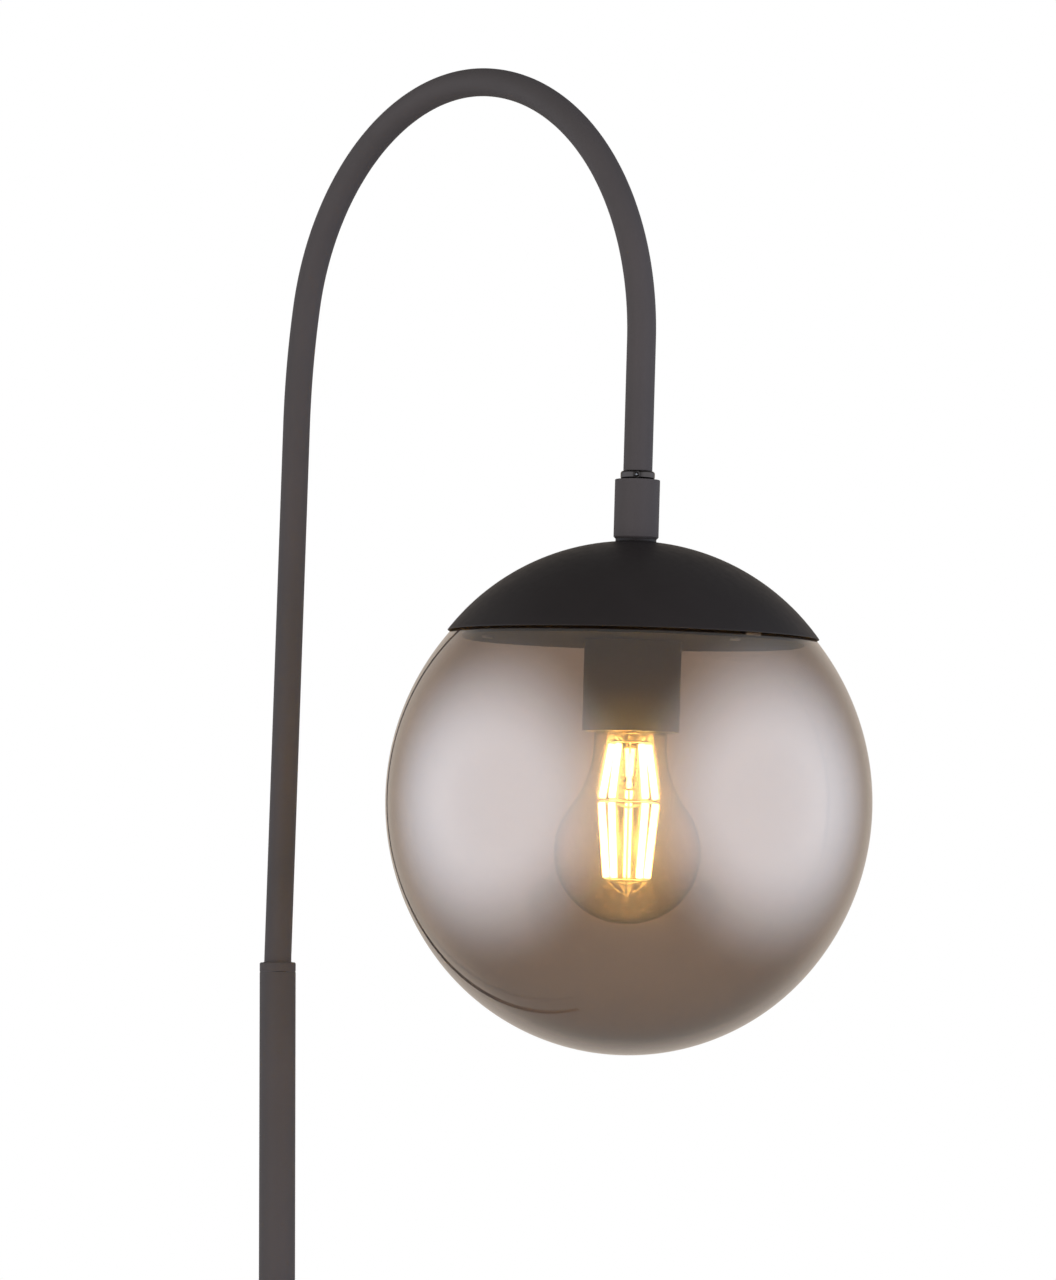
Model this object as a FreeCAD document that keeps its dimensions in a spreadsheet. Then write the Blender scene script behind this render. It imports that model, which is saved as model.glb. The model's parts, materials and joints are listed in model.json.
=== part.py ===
"""Globe floor lamp: a weighted foot, a sectioned pole, a swivelling bent arm and a glass globe head.

Millimetres and degrees. The origin is the middle of the foot's underside, +Z is up and the arm
reaches along +X. The pieces of the head are drawn about their own axis, with the end of the arm
tube at the origin and depths counted downwards, and are then tilted and lifted to the arm's end.
"""
import FreeCAD, Part
import math
import os
import re
import Sketcher

Vector = FreeCAD.Vector
FULL_TURN = 360
CLIP_COUNT = 3
FILAMENTS_PER_TIER = 5

doc = FreeCAD.newDocument("GlobeFloorLamp")

# ---------------------------------------------------------------------------------------------
# Driving dimensions
# ---------------------------------------------------------------------------------------------
DRIVING_SIZES = {
    # foot
    "base_radius": 130.0,
    "cover_wall": 1.0,
    "cover_edge_radius": 12.0,
    "cover_floor_gap": 1.0,
    "pad_thickness": 2.5,
    "pad_inset": 2.0,
    "weight_thickness": 12.0,
    "weight_skirt_height": 9.5,
    "weight_skirt_width": 14.0,
    "weight_side_gap": 0.4,
    "weight_recess_radius": 18.0,
    "weight_recess_depth": 8.0,
    "foot_collar_radius": 17.0,
    "foot_collar_height": 10.0,
    "foot_collar_lip": 2.5,
    "foot_collar_top_wall": 1.6,
    # threaded pieces shared by the foot, the pole and the head
    "nipple_radius": 4.95,
    "nipple_bore_radius": 3.8,
    "thread_gap": 0.05,
    "hole_gap": 0.25,
    "nut_width": 14.0,
    "nut_height": 5.0,
    "half_nut_height": 3.0,
    "washer_radius": 13.0,
    "washer_thickness": 1.5,
    "nipple_overhang": 1.0,
    "cut_overrun": 1.0,
    # pole
    "pole_radius": 8.0,
    "pole_wall": 1.0,
    "section_length": 363.0,
    "press_gap": 0.05,
    "foot_plug_length": 20.0,
    "socket_length": 18.0,
    "stud_plug_length": 15.0,
    "stud_length": 12.0,
    "pole_edge_chamfer": 0.25,
    "stop_ring_height": 4.2,
    "stop_ring_round": 0.8,
    "swivel_gap": 0.06,
    # bent arm tube
    "arm_radius": 6.0,
    "arm_wall": 1.0,
    "arm_insert_length": 44.0,
    "arm_lean": 3.03,
    "arm_root_radius": 36.0,
    "arm_leg_length": 237.4,
    "arm_ease_radius": 325.0,
    "arm_ease_angle": 9.33,
    "arm_rise_radius": 108.2,
    "arm_rise_angle": 88.33,
    "arm_fall_radius": 118.0,
    "arm_fall_angle": 81.94,
    "arm_tip_length": 54.5,
    # lead
    "lead_radius": 2.8,
    "lead_floor_gap": 1.7,
    "lead_bend_radius": 8.0,
    "lead_end_depth": 62.0,
    "core_radius": 1.1,
    "core_spacing": 1.32,
    "gland_radius": 4.3,
    "gland_flange_radius": 5.6,
    "gland_flange_thickness": 1.5,
    "gland_grip_length": 4.0,
    "gland_gap": 0.2,
    # head, from the arm's end down to the cap
    "nipple_insert_length": 15.0,
    "lock_ring_radius": 7.1,
    "lock_ring_height": 3.5,
    "lock_ring_round": 1.4,
    "lock_screw_radius": 0.85,
    "lock_screw_proud": 0.25,
    "lock_screw_bearing": 44.0,
    "collar_radius": 9.3,
    "collar_height": 24.5,
    "collar_edge": 0.4,
    "neck_radius": 8.45,
    "neck_height": 1.3,
    "cap_height": 38.5,
    "cap_rim_radius": 76.7,
    "cap_wall": 0.8,
    "cap_washer_radius": 8.2,
    # glass globe
    "glass_radius": 100.0,
    "glass_centre_drop": 68.6,
    "glass_flattening": 7.0,
    "glass_drop_extra": 3.7,
    "glass_wall": 1.8,
    "glass_bottom_wall": 4.5,
    "mouth_overlap": 1.4,
    # carrier and clips that hold the glass
    "carrier_sheet": 0.8,
    "carrier_drop": 2.5,
    "carrier_flange_radius": 73.5,
    "carrier_skirt_gap": 0.95,
    "clip_gap": 0.33,
    "clip_sheet": 0.5,
    "clip_width": 8.0,
    "clip_leg_radius": 56.0,
    "clip_tip_height": 2.6,
    "clip_slot_gap": 0.3,
    "rivet_circle_radius": 61.0,
    "rivet_radius": 1.2,
    "rivet_head_radius": 2.2,
    "rivet_head_height": 0.8,
    # lampholder
    "cup_radius": 20.0,
    "cup_wall": 0.8,
    "cup_length": 59.0,
    "cup_lower_depth": 107.5,
    "cup_side_gap": 0.4,
    "holder_radius": 17.5,
    "holder_wall": 2.0,
    "holder_split_depth": 76.0,
    "holder_neck_radius": 8.0,
    "holder_neck_length": 7.0,
    "holder_shoulder": 4.0,
    "holder_recess": 1.0,
    "block_thickness": 4.5,
    "block_gap": 0.1,
    "shell_wall": 0.6,
    "shell_end_gap": 1.5,
    "contact_strip": 0.5,
    "contact_width": 5.0,
    "contact_spring": 1.4,
    "terminal_offset": 7.0,
    "terminal_radius": 2.4,
    "terminal_height": 3.0,
    # bulb
    "bulb_length": 105.0,
    "bulb_radius": 30.3,
    "bulb_neck_radius": 15.0,
    "bulb_neck_blend": 45.0,
    "bulb_shoulder_round": 2.0,
    "bulb_glass_wall": 0.8,
    "bulb_thread_gap": 0.5,
    "screw_cap_radius": 13.1,
    "screw_cap_wall": 0.6,
    "screw_cap_length": 20.5,
    "tip_height": 1.1,
    "tip_radius": 4.6,
    "insulator_height": 2.6,
    "tip_gap": 0.3,
    "bulb_mouth_lip": 1.0,
    "stem_flare_radius": 9.0,
    "stem_flare_height": 8.0,
    "stem_radius": 3.4,
    "stem_length": 25.0,
    "stem_gap": 0.3,
    "stem_wire_gap": 1.7,
    "filament_radius": 1.0,
    "wire_radius": 0.5,
    "upper_ring_depth": 111.6,
    "upper_ring_radius": 7.8,
    "middle_ring_depth": 136.0,
    "middle_ring_radius": 11.8,
    "lower_ring_depth": 169.0,
    "lower_ring_radius": 8.7,
    "support_tail_length": 6.0,
}

sizes = doc.addObject("Spreadsheet::Sheet", "Sizes")
for row, (name, size) in enumerate(DRIVING_SIZES.items(), start=1):
    sizes.set(f"A{row}", name.replace("_", " "))
    sizes.set(f"B{row}", str(size))
    sizes.setAlias(f"B{row}", name)
doc.recompute()

sheet_of = {name: "Sizes" for name in DRIVING_SIZES}


def bound(formula):
    """Point every size name in a formula at the sheet that holds it."""
    def link(match):
        word = match.group(0)
        return f"{sheet_of[word]}.{word}" if word in sheet_of else word
    return re.sub(r"[a-z][a-z_]*", link, str(formula))


def value(formula):
    """The number that a formula of size names gives now."""
    return float(sizes.evalExpression(bound(formula)))


# ---------------------------------------------------------------------------------------------
# Places worked out from the driving dimensions
# ---------------------------------------------------------------------------------------------
DERIVED_PLACES = {
    # levels up the foot and the pole
    "weight_underside": "pad_thickness + weight_skirt_height",
    "weight_top": "weight_underside + weight_thickness",
    "weight_radius": "base_radius - cover_wall - weight_side_gap",
    "foot_top": "weight_top + cover_wall",
    "washer_level": "weight_underside + weight_recess_depth - washer_thickness",
    "lower_joint": "foot_top + section_length",
    "upper_joint": "lower_joint + section_length",
    "pole_top": "upper_joint + section_length",
    "arm_root": "pole_top + stop_ring_height",
    "arm_foot": "pole_top - arm_insert_length",
    "pole_bore_radius": "pole_radius - pole_wall",
    "lead_level": "pad_thickness + lead_floor_gap + lead_radius",
    "thread_bore": "nipple_radius + thread_gap",
    "through_hole": "nipple_radius + hole_gap",
    # bends of the arm: the tube's lean after each bend and the end point of each stretch
    "ease_lean": "arm_lean + arm_ease_angle",
    "rise_lean": "ease_lean + arm_rise_angle",
    "fall_lean": "rise_lean + arm_fall_angle",
    "root_x": "arm_root_radius * (1 - cos(arm_lean))",
    "root_z": "arm_root + arm_root_radius * sin(arm_lean)",
    "leg_x": "root_x + arm_leg_length * sin(arm_lean)",
    "leg_z": "root_z + arm_leg_length * cos(arm_lean)",
    "ease_x": "leg_x + arm_ease_radius * (cos(arm_lean) - cos(ease_lean))",
    "ease_z": "leg_z + arm_ease_radius * (sin(ease_lean) - sin(arm_lean))",
    "rise_x": "ease_x + arm_rise_radius * (cos(ease_lean) - cos(rise_lean))",
    "rise_z": "ease_z + arm_rise_radius * (sin(rise_lean) - sin(ease_lean))",
    "fall_x": "rise_x + arm_fall_radius * (cos(rise_lean) - cos(fall_lean))",
    "fall_z": "rise_z + arm_fall_radius * (sin(fall_lean) - sin(rise_lean))",
    "tip_x": "fall_x + arm_tip_length * sin(fall_lean)",
    "tip_z": "fall_z + arm_tip_length * cos(fall_lean)",
    "head_tilt": "fall_lean - 180",
    # depths below the arm's end along the head's axis
    "neck_depth": "lock_ring_height + collar_height",
    "cap_depth": "neck_depth + neck_height",
    "rim_depth": "cap_depth + cap_height",
    "glass_depth": "rim_depth + glass_centre_drop",
    "mouth_depth": "rim_depth - mouth_overlap",
    "floor_depth": "rim_depth + carrier_drop",
    "cup_depth": "cup_lower_depth - cup_length",
    "carrier_nut_depth": "cup_depth - carrier_sheet - half_nut_height",
    "nipple_end_depth": "cup_depth + cup_wall + holder_neck_length",
    # the cap's outer face is one sphere through the edge of its flat top and its rim
    "cap_centre": "(rim_depth^2 + cap_rim_radius^2 - cap_depth^2 - neck_radius^2) / (2 * cap_height)",
    "cap_outer": "sqrt((cap_centre - cap_depth)^2 + neck_radius^2)",
    "cap_inner": "cap_outer - cap_wall",
    "cap_inner_land": "sqrt(cap_inner^2 - (cap_centre - cap_depth - cap_wall)^2)",
    "cap_inner_rim": "sqrt(cap_inner^2 - (cap_centre - rim_depth)^2)",
    # the globe's side is an arc centred beyond the axis, met by a bottom arc centred on the axis
    "side_outer": "glass_radius + glass_flattening",
    "side_inner": "side_outer - glass_wall",
    "glass_inner": "glass_radius - glass_wall",
    "drop_outer": "glass_radius + glass_drop_extra",
    "drop_inner": "drop_outer - glass_bottom_wall",
    "round_outer": "(2 * glass_radius * side_outer - glass_radius^2 - drop_outer^2)"
                   " / (2 * (side_outer - drop_outer))",
    "round_inner": "(2 * glass_inner * side_inner - glass_inner^2 - drop_inner^2)"
                   " / (2 * (side_inner - drop_inner))",
    "bend_outer": "side_outer / (side_outer - round_outer)",
    "bend_inner": "side_inner / (side_inner - round_inner)",
    "mouth_outer": "sqrt(side_outer^2 - (glass_depth - mouth_depth)^2) - glass_flattening",
    "mouth_inner": "sqrt(side_inner^2 - (glass_depth - mouth_depth)^2) - glass_flattening",
    "skirt_radius": "mouth_inner - carrier_skirt_gap",
    "clip_tip_radius": "mouth_inner - clip_gap",
    # lampholder and bulb
    "holder_bore": "holder_radius - holder_wall",
    "holder_end_depth": "cup_lower_depth - holder_recess",
    "block_depth": "holder_split_depth + block_thickness",
    "shell_inner": "screw_cap_radius + bulb_thread_gap",
    "shell_outer": "shell_inner + shell_wall",
    "socket_bore": "shell_outer + block_gap",
    "contact_depth": "block_depth + contact_strip + contact_spring",
    "tip_depth": "contact_depth + tip_gap",
    "insulator_depth": "tip_depth + tip_height",
    "screw_cap_depth": "insulator_depth + insulator_height",
    "shoulder_depth": "screw_cap_depth + screw_cap_length",
    "bulb_mouth_radius": "screw_cap_radius - screw_cap_wall - bulb_mouth_lip",
    "bulb_end_depth": "tip_depth + bulb_length",
    "bulb_centre": "bulb_end_depth - bulb_radius",
    "blend_radial": "bulb_neck_radius + bulb_neck_blend",
    "blend_centre": "bulb_centre - sqrt((bulb_neck_blend + bulb_radius)^2 - blend_radial^2)",
}

places = doc.addObject("Spreadsheet::Sheet", "Places")
for row, (name, formula) in enumerate(DERIVED_PLACES.items(), start=1):
    places.set(f"A{row}", name.replace("_", " "))
    places.set(f"B{row}", "=" + bound(formula).replace("Places.", ""))
    places.setAlias(f"B{row}", name)
    doc.recompute([places])
    sheet_of[name] = "Places"
doc.recompute()


# ---------------------------------------------------------------------------------------------
# Drawing helpers
# ---------------------------------------------------------------------------------------------
def origin_plane(body, role):
    """One of a body's own origin planes."""
    return next(item for item in body.Origin.OriginFeatures if item.Role == role)


def new_body(label):
    """An empty body with its own label."""
    body = doc.addObject("PartDesign::Body", label)
    body.Label = label
    return body


def new_sketch(body, name, role="XZ_Plane"):
    """A sketch attached to one of the body's origin planes."""
    sketch = body.newObject("Sketcher::SketchObject", name)
    sketch.AttachmentSupport = [(origin_plane(body, role), "")]
    sketch.MapMode = "FlatFace"
    return sketch


def bind_distance(sketch, kind, geometry, end, formula):
    """Hold one coordinate of a point at a formula's value."""
    index = sketch.addConstraint(
        Sketcher.Constraint(kind, -1, 1, geometry, end, value(formula)))
    sketch.setExpression(f"Constraints[{index}]", bound(formula))


def bind_radius(sketch, geometry, formula):
    """Hold the radius of an arc or a circle at a formula's value."""
    index = sketch.addConstraint(Sketcher.Constraint("Radius", geometry, value(formula)))
    sketch.setExpression(f"Constraints[{index}]", bound(formula))


def arc_between(start, end, radius, side):
    """The short arc from start to end whose centre lies on the given side of the way there."""
    chord = end - start
    half = chord.Length / 2
    turn = 1 if side == "left" else -1
    normal = Vector(-chord.y, chord.x, 0).normalize() * turn
    centre = start + chord / 2 + normal * math.sqrt(max(radius ** 2 - half ** 2, 0))
    middle = centre - normal * radius
    return Part.Arc(start, middle, end)


def draw_chain(sketch, points, arcs, closed):
    """Draw lines and arcs through points.

    points holds pairs of formulas. arcs maps the number of a stretch to its radius and to the
    side, left or right of the way along it, on which its centre lies.
    """
    spots = [Vector(value(across), value(up), 0) for across, up in points]
    count = len(points) if closed else len(points) - 1
    for index in range(count):
        start, end = spots[index], spots[(index + 1) % len(spots)]
        if index in arcs:
            radius, side = arcs[index]
            sketch.addGeometry(arc_between(start, end, value(radius), side), False)
        else:
            sketch.addGeometry(Part.LineSegment(start, end), False)
    ends = [chain_ends(sketch, index, spots) for index in range(count)]
    for index in range(count if closed else count - 1):
        following = (index + 1) % count
        sketch.addConstraint(Sketcher.Constraint(
            "Coincident", index, ends[index][1], following, ends[following][0]))
    for index, (across, up) in enumerate(points):
        stretch = min(index, count - 1)
        end = ends[stretch][0] if index < count else ends[stretch][1]
        bind_distance(sketch, "DistanceX", stretch, end, across)
        bind_distance(sketch, "DistanceY", stretch, end, up)
    for index, (radius, _) in arcs.items():
        bind_radius(sketch, index, radius)


def chain_ends(sketch, index, spots):
    """Which end of a stretch, 1 or 2, comes first on the way round, and which comes last."""
    first = sketch.getPoint(index, 1)
    return (1, 2) if first.distanceToPoint(spots[index]) < 1e-6 else (2, 1)


def turned(label, points, arcs=None):
    """A piece turned about the Z axis from an outline of radius and height."""
    body = new_body(label)
    sketch = new_sketch(body, label + "_outline")
    draw_chain(sketch, points, arcs or {}, True)
    revolution = body.newObject("PartDesign::Revolution", label + "_turned")
    revolution.Profile = sketch
    revolution.ReferenceAxis = (sketch, ["V_Axis"])
    revolution.Angle = FULL_TURN
    return body


def sleeve(label, inner, outer, low, high):
    """A plain turned sleeve between two heights."""
    return turned(label, [(inner, low), (outer, low), (outer, high), (inner, high)])


def circle_sketch(body, name, role, radii, level="0"):
    """Concentric circles about the origin of one of the body's planes, lifted off it by level."""
    sketch = new_sketch(body, name, role)
    sketch.AttachmentOffset.Base = Vector(0, 0, value(level))
    sketch.setExpression(".AttachmentOffset.Base.z", bound(level))
    for index, radius in enumerate(radii):
        sketch.addGeometry(Part.Circle(Vector(0, 0, 0), Vector(0, 0, 1), value(radius)), False)
        sketch.addConstraint(Sketcher.Constraint("Coincident", index, 3, -1, 1))
        bind_radius(sketch, index, radius)
    return sketch


def piped(label, radii, start_level, points, arcs):
    """A tube or a rod that leaves the XY plane at start_level and follows a path in XZ."""
    body = new_body(label)
    section = circle_sketch(body, label + "_section", "XY_Plane", radii, start_level)
    path = new_sketch(body, label + "_path")
    draw_chain(path, points, arcs, False)
    pipe = body.newObject("PartDesign::AdditivePipe", label + "_pipe")
    pipe.Profile = section
    pipe.Spine = path
    return body


def sketch_box(sketch, low_across, low_up, high_across, high_up):
    """A rectangle in a sketch."""
    draw_chain(sketch, [(low_across, low_up), (high_across, low_up),
                        (high_across, high_up), (low_across, high_up)], {}, True)


def pocket(body, sketch, length, reverse):
    """Cut a sketch into a body for a stated length."""
    cut = body.newObject("PartDesign::Pocket", sketch.Name + "_cut")
    cut.Profile = sketch
    cut.Type = 0
    cut.Length = value(length)
    cut.setExpression("Length", bound(length))
    cut.Reversed = reverse
    return cut


def turned_about(placement, axis, angle):
    """The same placement, turned about one of its own axes by a formula in degrees."""
    return FreeCAD.Placement(placement.Base, FreeCAD.Rotation(axis, value(angle)))


def round_hole(body, name, role, level, across, up, radius, length, bearing="0"):
    """Cut a round hole off the origin of a body's plane, the plane turned about its upright."""
    sketch = circle_sketch(body, name, role, [], level)
    sketch.AttachmentOffset = turned_about(sketch.AttachmentOffset, Vector(0, 1, 0), bearing)
    sketch.setExpression(".AttachmentOffset.Rotation.Angle", bound(bearing))
    middle = Vector(value(across), value(up), 0)
    sketch.addGeometry(Part.Circle(middle, Vector(0, 0, 1), value(radius)), False)
    on_axis, kind, formula = ((-2, "DistanceY", up) if across == "0"
                              else (-1, "DistanceX", across))
    bind_distance(sketch, kind, 0, 3, formula)
    sketch.addConstraint(Sketcher.Constraint("PointOnObject", 0, 3, on_axis))
    bind_radius(sketch, 0, radius)
    return pocket(body, sketch, length, True)


def about_z(body, originals, count):
    """Repeat features evenly about the Z axis."""
    pattern = body.newObject("PartDesign::PolarPattern", body.Name + "_pattern")
    pattern.Originals = originals
    pattern.Axis = (origin_axis(body), [""])
    pattern.Angle = FULL_TURN
    pattern.Occurrences = count
    body.Tip = pattern
    return pattern


def origin_axis(body):
    """The body's own Z axis."""
    return next(item for item in body.Origin.OriginFeatures if item.Role == "Z_Axis")


def cylinder(name, radius, height, across=0, along=0, up=0, axis=None, angle=0):
    """A Part cylinder whose sizes and foot are formulas; axis and angle lean it first."""
    item = doc.addObject("Part::Cylinder", name)
    item.setExpression("Radius", bound(radius))
    item.setExpression("Height", bound(height))
    if axis is not None:
        item.Placement = FreeCAD.Placement(
            Vector(), FreeCAD.Rotation(axis, value(angle)))
        item.setExpression(".Placement.Rotation.Angle", bound(angle))
    for letter, formula in zip("xyz", (across, along, up)):
        item.setExpression(f".Placement.Base.{letter}", bound(formula))
    return item


def joined(kind, label, members):
    """A fusion or a compound of Part objects under one label."""
    item = doc.addObject(kind, label)
    item.Label = label
    if kind == "Part::Compound":
        item.Links = members
    else:
        item.Shapes = members
    return item


def hex_nut(label, height, low):
    """A hexagonal nut on the shared thread."""
    prism = doc.addObject("Part::Prism", label + "_prism")
    prism.Polygon = 6
    prism.setExpression("Circumradius", bound("nut_width / 2 / cos(30)"))
    prism.setExpression("Height", bound(height))
    prism.setExpression(".Placement.Base.z", bound(low))
    bore = cylinder(label + "_bore", "thread_bore", height, up=low)
    nut = doc.addObject("Part::Cut", label)
    nut.Label = label
    nut.Base = prism
    nut.Tool = bore
    return nut


pieces = []


def keep(*made):
    """List finished pieces of the stand and the arm, which are drawn where they stand."""
    pieces.extend(made)


def hang(*made):
    """Tilt finished pieces of the head and lift them to the arm's end, then list them."""
    for piece in made:
        piece.Placement = FreeCAD.Placement(
            Vector(), FreeCAD.Rotation(Vector(0, 1, 0), value("head_tilt")))
        piece.setExpression(".Placement.Rotation.Angle", bound("head_tilt"))
        piece.setExpression(".Placement.Base.x", bound("tip_x"))
        piece.setExpression(".Placement.Base.z", bound("tip_z"))
    pieces.extend(made)


def by_depth(points):
    """Turn outline points of radius and depth below the arm's end into radius and height."""
    return [(radius, f"-({depth})") for radius, depth in points]


# ---------------------------------------------------------------------------------------------
# Foot
# ---------------------------------------------------------------------------------------------
def make_foot():
    """Floor pad, cast weight, pressed cover, cable gland, foot collar and the centre fixing."""
    pad = sleeve("base_pad", "0", "weight_radius - pad_inset", "0", "pad_thickness")

    weight = turned("base_weight", [
        ("through_hole", "weight_top"),
        ("through_hole", "weight_underside + weight_recess_depth"),
        ("weight_recess_radius", "weight_underside + weight_recess_depth"),
        ("weight_recess_radius", "weight_underside"),
        ("weight_radius - weight_skirt_width", "weight_underside"),
        ("weight_radius - weight_skirt_width", "pad_thickness"),
        ("weight_radius", "pad_thickness"),
        ("weight_radius", "weight_top - cover_edge_radius"),
        ("weight_radius - cover_edge_radius", "weight_top"),
    ], {7: ("cover_edge_radius", "left")})
    notch = new_sketch(weight, "lead_notch", "XY_Plane")
    notch.AttachmentOffset.Base = Vector(0, 0, value("pad_thickness"))
    notch.setExpression(".AttachmentOffset.Base.z", bound("pad_thickness"))
    sketch_box(notch, "-base_radius", "-gland_flange_radius",
               "-(weight_radius - weight_skirt_width) + cut_overrun", "gland_flange_radius")
    pocket(weight, notch, "weight_skirt_height", True)

    cover = turned("base_cover", [
        ("through_hole", "foot_top"),
        ("through_hole", "weight_top"),
        ("base_radius - cover_edge_radius", "weight_top"),
        ("base_radius - cover_wall", "foot_top - cover_edge_radius"),
        ("base_radius - cover_wall", "cover_floor_gap"),
        ("base_radius", "cover_floor_gap"),
        ("base_radius", "foot_top - cover_edge_radius"),
        ("base_radius - cover_edge_radius", "foot_top"),
    ], {2: ("cover_edge_radius - cover_wall", "right"), 6: ("cover_edge_radius", "left")})
    round_hole(cover, "inlet_hole", "YZ_Plane", "-base_radius - cut_overrun", "0", "lead_level",
               "gland_radius + gland_gap / 2", "cover_wall + 2 * cut_overrun")

    gland = turned("cable_gland", [
        ("lead_radius + gland_gap", "-gland_flange_thickness"),
        ("gland_flange_radius", "-gland_flange_thickness"),
        ("gland_flange_radius", "0"),
        ("gland_radius", "0"),
        ("gland_radius", "cover_wall + gland_grip_length"),
        ("lead_radius + gland_gap", "cover_wall + gland_grip_length"),
    ])
    gland.Placement = FreeCAD.Placement(Vector(), FreeCAD.Rotation(Vector(0, 1, 0), 90))
    gland.setExpression(".Placement.Base.x", bound("-base_radius"))
    gland.setExpression(".Placement.Base.z", bound("lead_level"))

    collar = turned("foot_collar", [
        ("pole_radius + press_gap", "foot_top"),
        ("foot_collar_radius", "foot_top"),
        ("foot_collar_radius", "foot_top + foot_collar_lip"),
        ("pole_radius + foot_collar_top_wall", "foot_top + foot_collar_height"),
        ("pole_radius + press_gap", "foot_top + foot_collar_height"),
    ], {2: ("foot_collar_height", "right")})

    nipple = sleeve("base_nipple", "nipple_bore_radius", "nipple_radius",
                    "washer_level - nut_height - nipple_overhang",
                    "foot_top + foot_plug_length - nipple_overhang")
    washer = sleeve("base_washer", "through_hole", "washer_radius",
                    "washer_level", "washer_level + washer_thickness")
    nut = hex_nut("base_nut", "nut_height", "washer_level - nut_height")
    keep(pad, weight, cover, gland, collar, nipple, washer, nut)


# ---------------------------------------------------------------------------------------------
# Pole
# ---------------------------------------------------------------------------------------------
def make_pole():
    """Three tube sections, the foot plug, the screwed joints and the bush that the arm turns in."""
    plug_radius = "pole_bore_radius - press_gap"
    keep(sleeve("pole_lower", "pole_bore_radius", "pole_radius", "foot_top", "lower_joint"),
         sleeve("pole_middle", "pole_bore_radius", "pole_radius", "lower_joint", "upper_joint"))
    keep(turned("pole_upper", [
        ("pole_bore_radius", "upper_joint"),
        ("pole_radius", "upper_joint"),
        ("pole_radius", "pole_top - pole_edge_chamfer"),
        ("pole_radius - pole_edge_chamfer", "pole_top"),
        ("pole_bore_radius", "pole_top"),
    ]))
    keep(sleeve("foot_plug", "thread_bore", plug_radius,
                "foot_top", "foot_top + foot_plug_length"))
    for place in ("lower", "upper"):
        level = place + "_joint"
        keep(sleeve("joint_socket_" + place, "thread_bore", plug_radius,
                    level + " - socket_length", level))
        keep(turned("joint_stud_" + place, [
            ("nipple_bore_radius", level + " - stud_length"),
            ("nipple_radius", level + " - stud_length"),
            ("nipple_radius", level),
            (plug_radius, level),
            (plug_radius, level + " + stud_plug_length"),
            ("nipple_bore_radius", level + " + stud_plug_length"),
        ]))
    keep(sleeve("swivel_bush", "arm_radius + swivel_gap", plug_radius,
                "arm_foot", "pole_top"))


# ---------------------------------------------------------------------------------------------
# Arm and lead
# ---------------------------------------------------------------------------------------------
ARM_BENDS = {
    1: ("arm_root_radius", "right"),
    3: ("arm_ease_radius", "right"),
    4: ("arm_rise_radius", "right"),
    5: ("arm_fall_radius", "right"),
}


def arm_route(end_x, end_z):
    """The arm's centre line: up out of the pole, leaning, over the arch and down to an end."""
    return [("0", "arm_foot"), ("0", "arm_root"), ("root_x", "root_z"), ("leg_x", "leg_z"),
            ("ease_x", "ease_z"), ("rise_x", "rise_z"), ("fall_x", "fall_z"), (end_x, end_z)]


def make_arm():
    """The bent tube, the ring brazed on it, and the lead from the gland to the lampholder."""
    keep(piped("arm_tube", ["arm_radius", "arm_radius - arm_wall"], "arm_foot",
               arm_route("tip_x", "tip_z"), ARM_BENDS))
    keep(turned("stop_ring", [
        ("arm_radius + press_gap", "pole_top"),
        ("pole_radius - pole_edge_chamfer", "pole_top"),
        ("pole_radius", "pole_top + pole_edge_chamfer"),
        ("pole_radius", "arm_root - stop_ring_round"),
        ("pole_radius - stop_ring_round", "arm_root"),
        ("arm_radius + press_gap", "arm_root"),
    ], {3: ("stop_ring_round", "left")}))
    keep(piped("lead_upper", ["lead_radius"], "arm_foot",
               arm_route("tip_x + lead_end_depth * sin(fall_lean)",
                         "tip_z + lead_end_depth * cos(fall_lean)"), ARM_BENDS))

    lower = new_body("lead_lower")
    section = circle_sketch(lower, "lead_lower_section", "XY_Plane", ["lead_radius"], "arm_foot")
    path = new_sketch(lower, "lead_lower_path")
    draw_chain(path, [
        ("0", "arm_foot"),
        ("0", "lead_level + lead_bend_radius"),
        ("-lead_bend_radius", "lead_level"),
        ("-base_radius", "lead_level"),
    ], {1: ("lead_bend_radius", "right")}, False)
    pipe = lower.newObject("PartDesign::AdditivePipe", "lead_lower_pipe")
    pipe.Profile = section
    pipe.Spine = path
    keep(lower)


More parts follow.
